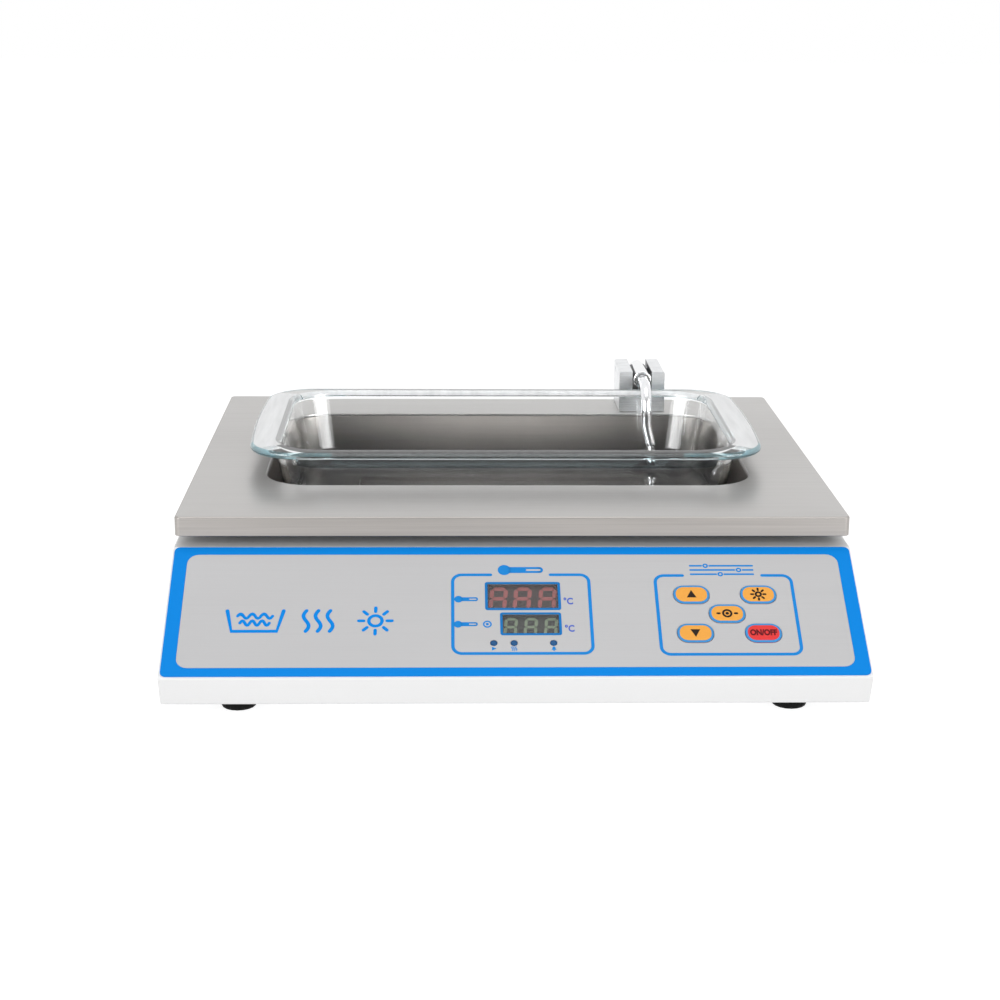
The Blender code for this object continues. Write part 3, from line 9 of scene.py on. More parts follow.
import bmesh
import bpy
from mathutils import Matrix, Vector
from mathutils.geometry import tessellate_polygon
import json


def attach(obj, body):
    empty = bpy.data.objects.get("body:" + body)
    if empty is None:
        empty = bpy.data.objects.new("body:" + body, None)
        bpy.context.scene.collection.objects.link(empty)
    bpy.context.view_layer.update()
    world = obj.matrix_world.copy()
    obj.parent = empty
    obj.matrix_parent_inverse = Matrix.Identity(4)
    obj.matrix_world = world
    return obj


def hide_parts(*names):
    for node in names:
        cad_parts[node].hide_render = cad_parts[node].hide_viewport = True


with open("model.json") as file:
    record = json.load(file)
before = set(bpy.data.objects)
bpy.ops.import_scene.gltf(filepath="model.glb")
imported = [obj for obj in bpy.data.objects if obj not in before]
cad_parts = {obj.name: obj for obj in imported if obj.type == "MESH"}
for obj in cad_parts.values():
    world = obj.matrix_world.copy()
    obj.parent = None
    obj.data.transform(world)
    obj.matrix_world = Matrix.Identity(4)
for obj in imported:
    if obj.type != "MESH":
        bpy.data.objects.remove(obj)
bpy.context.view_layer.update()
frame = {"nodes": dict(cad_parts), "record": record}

MM = 0.001

# Camera of the photograph
CAMERA_PLACE = (-0.03755, -1.07471, 0.37644)
CAMERA_PITCH = math.radians(16.035)
CAMERA_YAW = math.radians(1.78)
CAMERA_ROLL = math.radians(0.502)
CAMERA_LENS = 68.4
CAMERA_SENSOR = 36.0

# Plate and tub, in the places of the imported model
Z_PLATE = 0.0890
PLATE_EDGE = 0.0107
PLATE_SHEET = 0.0015
PLATE_WIDTH = 0.3600
PLATE_DEPTH = 0.2865
PLATE_Y = 0.0354
PLATE_CORNER = 0.0030
PLATE_CORNER_LEAST = 0.0005
PLATE_FOLD = 0.0011
PLATE_LIP = 0.0003
PLATE_FLAT_NORMAL = 0.97
OPENING_WIDTH = 0.2775
OPENING_DEPTH = 0.1745
OPENING_CORNER = 0.0270
OPENING_Y = 0.0427
OPENING_EDGE = 0.0008
STUD_RADIUS = 0.0025
STUD_SIDE = 0.140
STUD_FRONT = -0.06585
STUD_BACK = 0.14865
STUD_FOOT = 0.0646
STUD_WELD = 0.0006
TUB_TOP = 0.0872
TUB_FOOT = 0.0529
TUB_SHEET = 0.0010
TUB_FLANGE = 0.0120
TUB_EDGE = 0.0006
# Painted shade of the tub's steel along x and down z: start, end and darkest share
TUB_PAINTED_SHADE_ACROSS = (0.02, 0.13, 0.42)
TUB_PAINTED_SHADE_DOWN = (0.084, 0.068, 0.66)

# Dish
DISH_Y = 0.0442
DISH_Z = 0.0562
DISH_LENGTH = 0.2905
DISH_X = -0.0010
DISH_DEPTH = 0.1670
DISH_CORNER = 0.026
DISH_BULGE = 0.0040
DISH_HEIGHT = 0.050
DISH_WALL = 0.0040
DISH_FLOOR = 0.0048
DISH_RIM = 0.0044
DISH_RIM_ROUND = 0.0018
DISH_BODY_LENGTH = 0.2680
DISH_BODY_DEPTH = 0.1580
DISH_LEDGE_SLOPE = 0.0003
DISH_INNER_LEDGE = 0.0035
DISH_INNER_ROUND = 0.0018
DISH_INNER_DROP = 0.0030
DISH_BODY_CORNER = 0.030
DISH_TAPER = 0.0085
DISH_FLOOR_RADIUS = 0.011
DISH_UNDERCUT = 0.0008
# Height of the band of painted shade under the dish's front rim
DISH_SHADE = 0.0060
DISH_TINT = (0.62, 0.88, 0.92, 1.0)

# Probe and its block
PIVOT = (0.0922, 0.16815, 0.1103)
ROD_Y = 0.10515
ROD_TIP_Z = 0.0647
ROD_RADIUS = 0.0034
ROD_BEND = 0.0150
ROD_NECK = 0.0022
ROD_BALL = 0.0036
ROD_SHIFT = 0.0042
ROD_SHIFT_START = 0.0200
ROD_ROOT_GAP = 0.0003
SLEEVE_RADIUS = 0.0056
SLEEVE_BORE = 0.0036
SLEEVE_BORE_DEPTH = 0.0130
SLEEVE_FRONT_Y = 0.13415
SLEEVE_EDGE = 0.0006
SLEEVE_BACK_ROUND = 0.0026
# Painted shade in the block's groove: half width, floor and colour of the darkened part
GROOVE_HALF_WIDTH = 0.00626
GROOVE_FLOOR = 0.10295
GROOVE_PAINTED_SHADE = (0.07, 0.07, 0.075, 1.0)

# Panel; the places and sizes of its printing are in millimetres
PANEL_ANGLE = math.atan2(0.0462, 0.0733)
PANEL_ORIGIN = (0.0, -0.17915, 0.0257)
H_FACE = 0.0006
H_PRINT = 0.00068
H_KEY = 0.0011
KEY_WIDTH = 0.0188
KEY_HEIGHT = 0.0121
KEY_CORNER = 0.0056
KEY_CROWN = 0.0004
COLLAR = 0.0012
COLLAR_SKIN = 0.00005
H_MARK = 0.00118
MARK_SINK = 0.00006
LETTER_SINK = 0.00002
H_SEGMENT = -0.00178
H_SEGMENT_TOP = -0.00158
DIGIT_SLANT = 0.10
BOX_LINE = 1.75
SIGN_V = 36.0
SLIDER_V = 69.8
PANEL = (Matrix.Translation(Vector(PANEL_ORIGIN))
         @ Matrix.Rotation(PANEL_ANGLE, 4, "X"))
KEYS = {
    "key_up": (92.4, 52.9),
    "key_down": (92.4, 27.5),
    "key_set": (110.0, 40.2),
    "key_light": (127.6, 52.9),
    "key_power": (127.6, 27.5),
}

# Steps of the rounded forms: in a quarter turn, in the rim's half turn and in other runs
EDGE_STEPS = 4
KEY_STEPS = 3
PLATE_STEPS = 6
BEND_STEPS = 8
CORNER_STEPS = 20
ROD_STEPS = 20
RIM_STEPS = 12
SHIFT_STEPS = 9
BALL_STEPS = 15

# Middle range of a noise, where nearly all of its values lie
NOISE_LOW = 0.3
NOISE_HIGH = 0.7

# Light
WORLD_LIGHT = 0.45
WORLD_FRONT = 0.35
WORLD_FRONT_Y = -0.9
WORLD_BACK_Y = 0.1
FLOOR_HALF_SIZE = 6.0
FLOOR_COLOUR = (0.80, 0.80, 0.80, 1.0)
FLOOR_SHADOW_COLOUR = (0.36, 0.36, 0.36, 1.0)
FLOOR_GLOW = 0.86
LAMP_AIM = (0.0, 0.0, 0.08)
SIDE_PLACE = (1.05, -1.45, 0.62)
SIDE_SIZE = (0.90, 1.00)
SIDE_RADIANCE = 3.55
SHINE_PLACE = (1.25, -1.05, 0.50)
SHINE_SIZE = (1.10, 0.90)
SHINE_RADIANCE = 9.0
OVER_PLACE = (0.0, -0.25, 1.70)
OVER_SIZE = (1.40, 1.00)
OVER_RADIANCE = 1.7


# Meshes

def turns(steps, whole=math.pi / 2):
    """Angles from 0 to whole, a quarter turn unless it is given, in even steps."""
    return [whole * step / steps for step in range(steps + 1)]


def rounded_rect(width, depth, radius, centre=(0.0, 0.0), steps=14, bulge=0.0, side_steps=1):
    """Rectangle with round corners; bulge bows its left and right ends outwards."""
    x = width / 2 - radius
    y = depth / 2 - radius
    corners = ((x, y), (-x, y), (-x, -y), (x, -y))
    points = []
    for quarter, (corner_x, corner_y) in enumerate(corners):
        for i in range(steps + 1):
            angle = math.pi / 2 * (quarter + i / steps)
            points.append((corner_x + radius * math.cos(angle),
                           corner_y + radius * math.sin(angle)))
        end = Vector(points[-1])
        angle = math.pi / 2 * (quarter + 1)
        next_x, next_y = corners[(quarter + 1) % 4]
        start = Vector((next_x + radius * math.cos(angle), next_y + radius * math.sin(angle)))
        for i in range(1, side_steps):
            points.append(tuple(end.lerp(start, i / side_steps)))
    bowed = []
    for px, py in points:
        share = 1 - (2 * py / depth) ** 2
        bowed.append((centre[0] + px + math.copysign(bulge * share, px), centre[1] + py))
    return bowed


def circle(radius, centre=(0.0, 0.0), count=32):
    points = []
    for i in range(count):
        angle = 2 * math.pi * i / count
        points.append((centre[0] + radius * math.cos(angle), centre[1] + radius * math.sin(angle)))
    return points


def level(outline, z):
    return [(x, y, z) for x, y in outline]


def closed_mesh(name, points, faces, smooth_angle=None):
    mesh = bpy.data.meshes.new(name)
    mesh.from_pydata(points, [], faces)
    shape = bmesh.new()
    shape.from_mesh(mesh)
    bmesh.ops.recalc_face_normals(shape, faces=shape.faces)
    shape.to_mesh(mesh)
    shape.free()
    if smooth_angle is not None:
        mesh.shade_smooth()
        mesh.set_sharp_from_angle(angle=math.radians(smooth_angle))
    return mesh


def loft(name, loops, ring=False, smooth_angle=30):
    count = len(loops[0])
    points = [point for loop in loops for point in loop]
    faces = []
    for a in range(len(loops) if ring else len(loops) - 1):
        b = (a + 1) % len(loops)
        for i in range(count):
            j = (i + 1) % count
            faces.append((a * count + i, a * count + j, b * count + j, b * count + i))
    if not ring:
        faces.append(tuple(range(count)))
        faces.append(tuple(range((len(loops) - 1) * count, len(loops) * count)))
    return closed_mesh(name, points, faces, smooth_angle)


def prisms(name, shapes, low, high, scale=MM):
    """Flat shapes, each an outline with its holes, raised from low to high."""
    points = []
    faces = []
    for outline, holes in shapes:
        loops = [outline, *holes]
        corners = [(x * scale, y * scale) for loop in loops for x, y in loop]
        flat = [[Vector((x, y, 0.0)) for x, y in loop] for loop in loops]
        base = len(points)
        total = len(corners)
        points += level(corners, low) + level(corners, high)
        for a, b, c in tessellate_polygon(flat):
            faces.append((base + a, base + b, base + c))
            faces.append((base + a + total, base + c + total, base + b + total))
        first = base
        for loop in loops:
            for i in range(len(loop)):
                a = first + i
                b = first + (i + 1) % len(loop)
                faces.append((a, b, b + total, a + total))
            first += len(loop)
    return closed_mesh(name, points, faces)


def joined(name, meshes):
    shape = bmesh.new()
    for mesh in meshes:
        shape.from_mesh(mesh)
    whole = bpy.data.meshes.new(name)
    shape.to_mesh(whole)
    shape.free()
    return whole


def piece(name, mesh, material, body, matrix=None, replaces=()):
    if matrix is not None:
        mesh.transform(matrix)
    mesh.materials.clear()
    mesh.materials.append(material)
    thing = bpy.data.objects.new(name, mesh)
    bpy.context.scene.collection.objects.link(thing)
    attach(thing, body)
    if replaces:
        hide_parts(*replaces)
    return thing


# Flat shapes for the printing, in millimetres on the panel

def plain(outline):
    return (outline, [])


def disc(u, v, radius, count=24):
    return plain(circle(radius, (u, v), count))


def hoop(u, v, radius, line, count=32):
    return (circle(radius, (u, v), count), [circle(radius - line, (u, v), count)])


def frame_line(u, v, width, height, radius, line):
    """Closed line round a rounded rectangle."""
    outer = rounded_rect(width, height, radius, (u, v), 8)
    inner = rounded_rect(width - 2 * line, height - 2 * line, radius - line, (u, v), 8)
    return (outer, [inner])


def ribbon(points, line):
    """Line of even width with round ends through the points."""
    path = [Vector(point) for point in points]
    half = line / 2
    left = []
    right = []
    for i, point in enumerate(path):
        before = path[max(i - 1, 0)]
        after = path[min(i + 1, len(path) - 1)]
        along = (after - before).normalized()
        side = Vector((-along.y, along.x)) * half
        left.append(point + side)
        right.append(point - side)
    cap = []
    for end, outward in ((path[-1], path[-1] - path[-2]), (path[0], path[0] - path[1])):
        along = outward.normalized()
        turn = math.atan2(along.y, along.x)
        cap.append([(end.x + half * math.cos(turn + a), end.y + half * math.sin(turn + a))
                    for a in (math.pi / 4, 0.0, -math.pi / 4)])
    outline = [tuple(p) for p in left] + cap[0] + [tuple(p) for p in reversed(right)] + cap[1]
    return plain(outline)


def bar(u0, v0, u1, v1, line):
    return ribbon([(u0, v0), (u1, v1)], line)


def wave(u, v, length, height, line, turns, upright=False):
    points = []
    for i in range(12 * turns + 1):
        share = i / (12 * turns)
        along = (share - 0.5) * length
        off = height / 2 * math.sin(2 * math.pi * turns * share)
        points.append((u + off, v + along) if upright else (u + along, v + off))
    return ribbon(points, line)


def titled_frame(left, right, low, high, radius, line, gap_left, gap_right):
    """Line round a box, open at the top between the two ends of the title's gap."""
    inset = line / 2
    x0, x1, y0, y1 = left + inset, right - inset, low + inset, high - inset
    r = radius - inset
    points = [(gap_left, y1)]
    corners = (((x0 + r, y1 - r), 90), ((x0 + r, y0 + r), 180),
               ((x1 - r, y0 + r), 270), ((x1 - r, y1 - r), 0))
    for (cx, cy), start in corners:
        for i in range(9):
            angle = math.radians(start + 90 * i / 8)
            points.append((cx + r * math.cos(angle), cy + r * math.sin(angle)))
    points.append((gap_right, y1))
    return ribbon(points, line)


def lettering(name, text, size, squeeze=1.0, weight=0.012):
    """Raised letters round the origin, laid flat; weight thickens their strokes."""
    curve = bpy.data.curves.new(name, "FONT")
    curve.body = text
    curve.size = size
    curve.align_x = "CENTER"
    curve.align_y = "CENTER"
    curve.offset = size * weight
    curve.extrude = (H_PRINT - H_FACE) / 2
    thing = bpy.data.objects.new(name, curve)
    bpy.context.scene.collection.objects.link(thing)
    bpy.context.view_layer.update()
    source = thing.evaluated_get(bpy.context.evaluated_depsgraph_get())
    mesh = bpy.data.meshes.new_from_object(source)
    bpy.data.objects.remove(thing, do_unlink=True)
    mesh.transform(Matrix.Diagonal((squeeze, 1.0, 1.0, 1.0)))
    return mesh


# Materials

def new_material(name, colour, roughness, metallic=0.0):
    material = bpy.data.materials.new(name)
    material.use_nodes = True
    tree = material.node_tree
    shader = tree.nodes["Principled BSDF"]
    shader.inputs["Base Color"].default_value = (*colour, 1.0)
    shader.inputs["Roughness"].default_value = roughness
    shader.inputs["Metallic"].default_value = metallic
    return material, tree, shader


def noise(tree, stretch, detail, rough):
    """Noise over the object, with so many grains per metre along each axis."""
    place = tree.nodes.new("ShaderNodeTexCoord")
    mapping = tree.nodes.new("ShaderNodeMapping")
    mapping.inputs["Scale"].default_value = stretch
    grain = tree.nodes.new("ShaderNodeTexNoise")
    grain.inputs["Scale"].default_value = 1.0
    grain.inputs["Detail"].default_value = detail
    grain.inputs["Roughness"].default_value = rough
    tree.links.new(place.outputs["Object"], mapping.inputs["Vector"])
    tree.links.new(mapping.outputs["Vector"], grain.inputs["Vector"])
    return grain.outputs["Fac"]


def spread(tree, value, low, high):
    """The middle of a noise, stretched to run from low to high."""
    node = tree.nodes.new("ShaderNodeMapRange")
    node.inputs["From Min"].default_value = NOISE_LOW
    node.inputs["From Max"].default_value = NOISE_HIGH
    node.inputs["To Min"].default_value = low
    node.inputs["To Max"].default_value = high
    tree.links.new(value, node.inputs["Value"])
    return node.outputs["Result"]


def two_tones(tree, value, dark, light):
    """Colour from dark to light over the middle of a noise."""
    ramp = tree.nodes.new("ShaderNodeValToRGB")
    ramp.color_ramp.elements[0].position = NOISE_LOW
    ramp.color_ramp.elements[0].color = (*dark, 1.0)
    ramp.color_ramp.elements[1].position = NOISE_HIGH
    ramp.color_ramp.elements[1].color = (*light, 1.0)
    tree.links.new(value, ramp.inputs["Fac"])
    return ramp.outputs["Color"]


def added(tree, first, second, weight):
    """Mean of two values, the second by its weight."""
    node = tree.nodes.new("ShaderNodeMix")
    node.data_type = "FLOAT"
    node.inputs["Factor"].default_value = weight
    tree.links.new(first, node.inputs["A"])
    tree.links.new(second, node.inputs["B"])
    return node.outputs["Result"]


def bumped(tree, shader, value, depth):
    bump = tree.nodes.new("ShaderNodeBump")
    bump.inputs["Strength"].default_value = 1.0
    bump.inputs["Distance"].default_value = depth
    tree.links.new(value, bump.inputs["Height"])
    tree.links.new(bump.outputs["Normal"], shader.inputs["Normal"])


def shade(colour, share):
    return tuple(channel * share for channel in colour)


def grained(name, colour, roughness, stretch, metallic=0.0, contrast=0.05, depth=0.00002,
            blotch=(9.0, 9.0, 9.0), rough_spread=0.06, blend=0.35, specular=0.5):
    """Surface with drawn-out grain over soft, wide unevenness."""
    material, tree, shader = new_material(name, colour, roughness, metallic)
    shader.inputs["Specular IOR Level"].default_value = specular
    fine = noise(tree, stretch, 4.0, 0.6)
    wide = noise(tree, blotch, 2.0, 0.5)
    both = added(tree, fine, wide, blend)
    tone = two_tones(tree, both, shade(colour, 1 - contrast), shade(colour, 1 + contrast))
    tree.links.new(tone, shader.inputs["Base Color"])
    rough = spread(tree, both, roughness + rough_spread, roughness - rough_spread)
    tree.links.new(rough, shader.inputs["Roughness"])
    bumped(tree, shader, fine, depth)
    return material


def clear_glass(name, colour, depth, clearness=1.0, roughness=0.0, ior=1.48, density=0.4,
                contrast=0.015):
    """Glass with a soft ripple; a clearness under 1 leaves some of it milky."""
    material, tree, shader = new_material(name, colour, roughness)
    shader.inputs["IOR"].default_value = ior
    shader.inputs["Transmission Weight"].default_value = clearness
    ripple = noise(tree, (26.0, 26.0, 40.0), 1.5, 0.45)
    streaks = noise(tree, (240.0, 22.0, 60.0), 2.5, 0.5)
    tone = two_tones(tree, streaks, shade(colour, 1 - contrast), shade(colour, 1.0))
    tree.links.new(tone, shader.inputs["Base Color"])
    bumped(tree, shader, ripple, depth)
    body = tree.nodes.new("ShaderNodeVolumeAbsorption")
    body.inputs["Color"].default_value = DISH_TINT
    body.inputs["Density"].default_value = density
    output = tree.nodes["Material Output"]
    tree.links.new(body.outputs["Volume"], output.inputs["Volume"])
    return material


def window_film(name, colour, alpha):
    """Smoked front of a display: dark, glossy and half see-through."""
    material = grained(name, colour, 0.12, (160.0, 160.0, 160.0), 0.0, 0.08, 0.000004,
                       rough_spread=0.03, specular=0.25)
    shader = material.node_tree.nodes["Principled BSDF"]
    shader.inputs["Alpha"].default_value = alpha
    return material


def circuit_board(name):
    material, tree, shader = new_material(name, (0.01, 0.13, 0.06), 0.35)
    place = tree.nodes.new("ShaderNodeTexCoord")
    tracks = tree.nodes.new("ShaderNodeTexBrick")
    tracks.inputs["Scale"].default_value = 140.0
    tracks.inputs["Mortar Size"].default_value = 0.03
    tracks.inputs["Color1"].default_value = (0.010, 0.130, 0.060, 1.0)
    tracks.inputs["Color2"].default_value = (0.012, 0.150, 0.070, 1.0)
    tracks.inputs["Mortar"].default_value = (0.030, 0.260, 0.110, 1.0)
    tree.links.new(place.outputs["Object"], tracks.inputs["Vector"])
    tree.links.new(tracks.outputs["Color"], shader.inputs["Base Color"])
    bumped(tree, shader, tracks.outputs["Fac"], 0.00003)
    return material


plate_steel = grained("satin_steel", (0.515, 0.503, 0.492), 0.36, (14.0, 2600.0, 2600.0), 1.0, 0.06,
                      0.000008, (5.0, 9.0, 9.0))
# Darker copy of the plate's steel for its folds and edge faces: painted shade.
plate_edge_painted_shade = grained("satin_steel_painted_shade", (0.420, 0.398, 0.380), 0.42, (10.0, 1100.0, 1100.0), 1.0, 0.11,
                     0.000010, (5.0, 9.0, 9.0))
tub_steel = grained("drawn_steel", (0.66, 0.615, 0.58), 0.34, (18.0, 18.0, 900.0), 1.0, 0.12,
                    0.000008, (14.0, 14.0, 5.0), blend=0.7)
sheet_steel = grained("zinc_sheet", (0.55, 0.56, 0.57), 0.40, (160.0, 160.0, 160.0), 1.0, 0.12, 0.00001,
                      (40.0, 40.0, 40.0))
zinc = grained("zinc_plate", (0.66, 0.67, 0.68), 0.28, (700.0, 700.0, 700.0), 1.0, 0.08, 0.00001)
chrome = grained("polished_chrome", (0.90, 0.905, 0.91), 0.07, (900.0, 900.0, 900.0), 1.0, 0.02, 0.000002,
                 rough_spread=0.03)
rod_steel = grained("satin_rod", (0.86, 0.865, 0.88), 0.20, (500.0, 500.0, 500.0), 1.0, 0.03, 0.000003,
                    rough_spread=0.05)
white_paint = grained("white_powder_coat", (0.87, 0.87, 0.87), 0.42, (1300.0, 1300.0, 1300.0), 0.0, 0.012,
                      0.00003, rough_spread=0.05)
black_coat = grained("black_hot_plate", (0.016, 0.016, 0.018), 0.34, (40.0, 1800.0, 1800.0), 0.0, 0.25,
                     0.000012, (14.0, 30.0, 30.0), specular=0.12)
smoked = grained("smoked_window", (0.045, 0.046, 0.050), 0.10, (300.0, 300.0, 300.0), 0.0, 0.10, 0.000004)
rubber = grained("moulded_rubber", (0.009, 0.009, 0.009), 0.62, (1500.0, 1500.0, 1500.0), 0.0, 0.20, 0.00004,
                 specular=0.1)
black_plastic = grained("black_plastic", (0.020, 0.020, 0.021), 0.45, (1200.0, 1200.0, 1200.0), 0.0, 0.15,
                        0.00003, specular=0.25)
blue_film = grained("blue_film", (0.003, 0.240, 0.74), 0.40, (900.0, 900.0, 900.0), 0.0, 0.025, 0.00001,
                    rough_spread=0.04, specular=0.05)
grey_film = grained("brushed_film", (0.515, 0.513, 0.520), 0.36, (10.0, 1500.0, 1500.0), 0.0, 0.030, 0.000006,
                    (7.0, 14.0, 14.0), blend=0.5, specular=0.25)
orange = grained("orange_key", (0.86, 0.388, 0.067), 0.42, (900.0, 900.0, 900.0), 0.0, 0.03, 0.00001,
                 specular=0.12)
red = grained("red_key", (0.76, 0.045, 0.045), 0.42, (900.0, 900.0, 900.0), 0.0, 0.04, 0.00001,
              specular=0.12)
glass = clear_glass("dish_glass", (0.985, 0.992, 0.992), 0.00012, ior=1.40)
flange_glass = clear_glass("dish_flange_glass", (0.985, 0.99, 1.0), 0.00016, 0.14, 0.03, 1.52, contrast=0.16)
# Rim glass is greyer than the rest of the dish: painted shade on the rim.
rim_glass = clear_glass("dish_rim_glass", (0.70, 0.725, 0.73), 0.00008, 0.92, 0.02)
corner_glass = clear_glass("dish_corner_glass", (0.56, 0.79, 0.83), 0.00008, 0.80, 0.02, density=5.0)
# Whiter, partly milky edge glass: a painted highlight on the inner ledge at the dish's ends.
edge_highlight_glass = clear_glass("dish_edge_highlight_glass", (0.97, 0.98, 0.985), 0.00008, 0.60, 0.03, 1.45)
# Darker glass: painted shade under the front rim, on the front arc and on the back ledge.
painted_shade_glass = clear_glass("dish_painted_shade_glass", (0.44, 0.445, 0.46), 0.00012, 0.97, 0.0, 1.40)
red_window = window_film("red_display_window", (0.18, 0.15, 0.15), 0.30)
green_window = window_film("green_display_window", (0.16, 0.165, 0.16), 0.30)
lens = grained("lamp_lens", (0.003, 0.075, 0.22), 0.16, (600.0, 600.0, 600.0), 0.0, 0.15, 0.00001,
               specular=0.2)
silicone = grained("heater_mat", (0.56, 0.16, 0.08), 0.60, (420.0, 420.0, 420.0), 0.0, 0.12, 0.00005)
white_plastic = grained("white_plastic", (0.80, 0.80, 0.78), 0.45, (900.0, 900.0, 900.0), 0.0, 0.02, 0.00002)
board = circuit_board("circuit_board")


def printed(name, colour, contrast=0.05):
    """Screen ink: even, nearly without shine."""
    return grained(name, colour, 0.45, (1100.0, 1100.0, 1100.0), 0.0, contrast, 0.000006, specular=0.1)


blue_ink = printed("blue_ink", (0.010, 0.235, 0.66))
window_ink = printed("window_line_ink", (0.006, 0.175, 0.50))
pale_ink = printed("pale_blue_ink", (0.060, 0.285, 0.62))
violet_ink = printed("violet_ink", (0.075, 0.135, 0.55))
dark_ink = printed("dark_ink", (0.022, 0.013, 0.008), 0.15)
switch_ink = printed("switch_ink", (0.120, 0.008, 0.012))
red_segment = printed("red_segment", (0.86, 0.23, 0.22))
green_segment = printed("green_segment", (0.52, 0.68, 0.44))
unlit_segment = printed("unlit_segment", (0.10, 0.08, 0.08))


def painted_shade_along(material, axis, start, end, share):
    """Painted shade: darker along one axis of the object, from start to end, alike on both sides of its
    middle.
    """
    tree = material.node_tree
    shader = tree.nodes["Principled BSDF"]
    tone = shader.inputs["Base Color"].links[0].from_socket
    place = tree.nodes.new("ShaderNodeTexCoord")
    axes = tree.nodes.new("ShaderNodeSeparateXYZ")
    away = tree.nodes.new("ShaderNodeMath")
    away.operation = "ABSOLUTE"
    fade = tree.nodes.new("ShaderNodeMapRange")
    fade.interpolation_type = "SMOOTHSTEP"
    fade.inputs["From Min"].default_value = start
    fade.inputs["From Max"].default_value = end
    fade.inputs["To Min"].default_value = 1.0
    fade.inputs["To Max"].default_value = share
    scale = tree.nodes.new("ShaderNodeVectorMath")
    scale.operation = "SCALE"
    tree.links.new(place.outputs["Object"], axes.inputs["Vector"])
    tree.links.new(axes.outputs[axis], away.inputs[0])
    tree.links.new(away.outputs["Value"], fade.inputs["Value"])
    tree.links.new(tone, scale.inputs[0])
    tree.links.new(fade.outputs["Result"], scale.inputs["Scale"])
    tree.links.new(scale.outputs["Vector"], shader.inputs["Base Color"])


# Painted shade on the tub's steel: darker towards its two ends and towards its bottom.
painted_shade_along(tub_steel, "X", *TUB_PAINTED_SHADE_ACROSS)
painted_shade_along(tub_steel, "Z", *TUB_PAINTED_SHADE_DOWN)


def groove_painted_shade(material, middle, half_width, floor):
    """Painted shade inside the block's groove: darker within half_width of x = middle and above its floor."""
    tree = material.node_tree
    shader = tree.nodes["Principled BSDF"]
    tone = shader.inputs["Base Color"].links[0].from_socket
    place = tree.nodes.new("ShaderNodeTexCoord")
    axes = tree.nodes.new("ShaderNodeSeparateXYZ")
    near = tree.nodes.new("ShaderNodeMath")
    near.operation = "COMPARE"
    near.inputs[1].default_value = middle
    near.inputs[2].default_value = half_width
    above = tree.nodes.new("ShaderNodeMath")
    above.operation = "GREATER_THAN"
    above.inputs[1].default_value = floor
    inside = tree.nodes.new("ShaderNodeMath")
    inside.operation = "MULTIPLY"
    dark = tree.nodes.new("ShaderNodeMix")
    dark.data_type = "RGBA"
    dark.inputs["B"].default_value = GROOVE_PAINTED_SHADE
    tree.links.new(place.outputs["Object"], axes.inputs["Vector"])
    tree.links.new(axes.outputs["X"], near.inputs[0])
    tree.links.new(axes.outputs["Z"], above.inputs[0])
    tree.links.new(near.outputs["Value"], inside.inputs[0])
    tree.links.new(above.outputs["Value"], inside.inputs[1])
    tree.links.new(inside.outputs["Value"], dark.inputs["Factor"])
    tree.links.new(tone, dark.inputs["A"])
    tree.links.new(dark.outputs["Result"], shader.inputs["Base Color"])


block_metal = grained("block_aluminium", (0.78, 0.79, 0.80), 0.38, (60.0, 1500.0, 1500.0), 1.0, 0.16,
                      0.000014, (90.0, 160.0, 160.0))
# The block's groove is painted dark: painted shade.
groove_painted_shade(block_metal, PIVOT[0], GROOVE_HALF_WIDTH, GROOVE_FLOOR)

FINISHES = {
    "white_paint": white_paint, "sheet_steel": sheet_steel, "plate_steel": plate_steel,
    "tub_steel": tub_steel, "black_coat": black_coat, "zinc": zinc, "chrome": chrome,
    "aluminium": block_metal, "glass": glass, "rubber": rubber, "black_plastic": black_plastic,
    "blue_film": blue_film, "brushed_film": grey_film, "orange_key": orange, "red_key": red,
    "red_display_glass": red_window, "green_display_glass": green_window,
    "indicator_lens": lens, "smoked_window": smoked, "heater_silicone": silicone,
    "white_plastic": white_plastic, "board_green": board,
}


def dress_nodes():
    """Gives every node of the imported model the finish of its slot."""
    for part in frame["record"]["subparts"]:
        thing = frame["nodes"][part["node"]]
        for place in thing.material_slots:
            place.material = FINISHES[part["material_slot"]]


def eased(node, width, segments=3, angle=35):
    """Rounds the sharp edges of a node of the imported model."""
    modifier = frame["nodes"][node].modifiers.new("eased_edges", "BEVEL")
    modifier.width = width
    modifier.segments = segments
    modifier.limit_method = "ANGLE"
    modifier.angle_limit = math.radians(angle)
    modifier.harden_normals = False


# Plate and tub

def opening_outline(grow):
    width = OPENING_WIDTH + 2 * grow
    depth = OPENING_DEPTH + 2 * grow
    return rounded_rect(width, depth, OPENING_CORNER + grow, (0.0, OPENING_Y), CORNER_STEPS)


def plate_loop(inset, z):
    """The plate's outline, drawn in by inset."""
    width = PLATE_WIDTH - 2 * inset
    depth = PLATE_DEPTH - 2 * inset
    radius = max(PLATE_CORNER - inset, PLATE_CORNER_LEAST)
    return level(rounded_rect(width, depth, radius, (0.0, PLATE_Y), CORNER_STEPS), z)


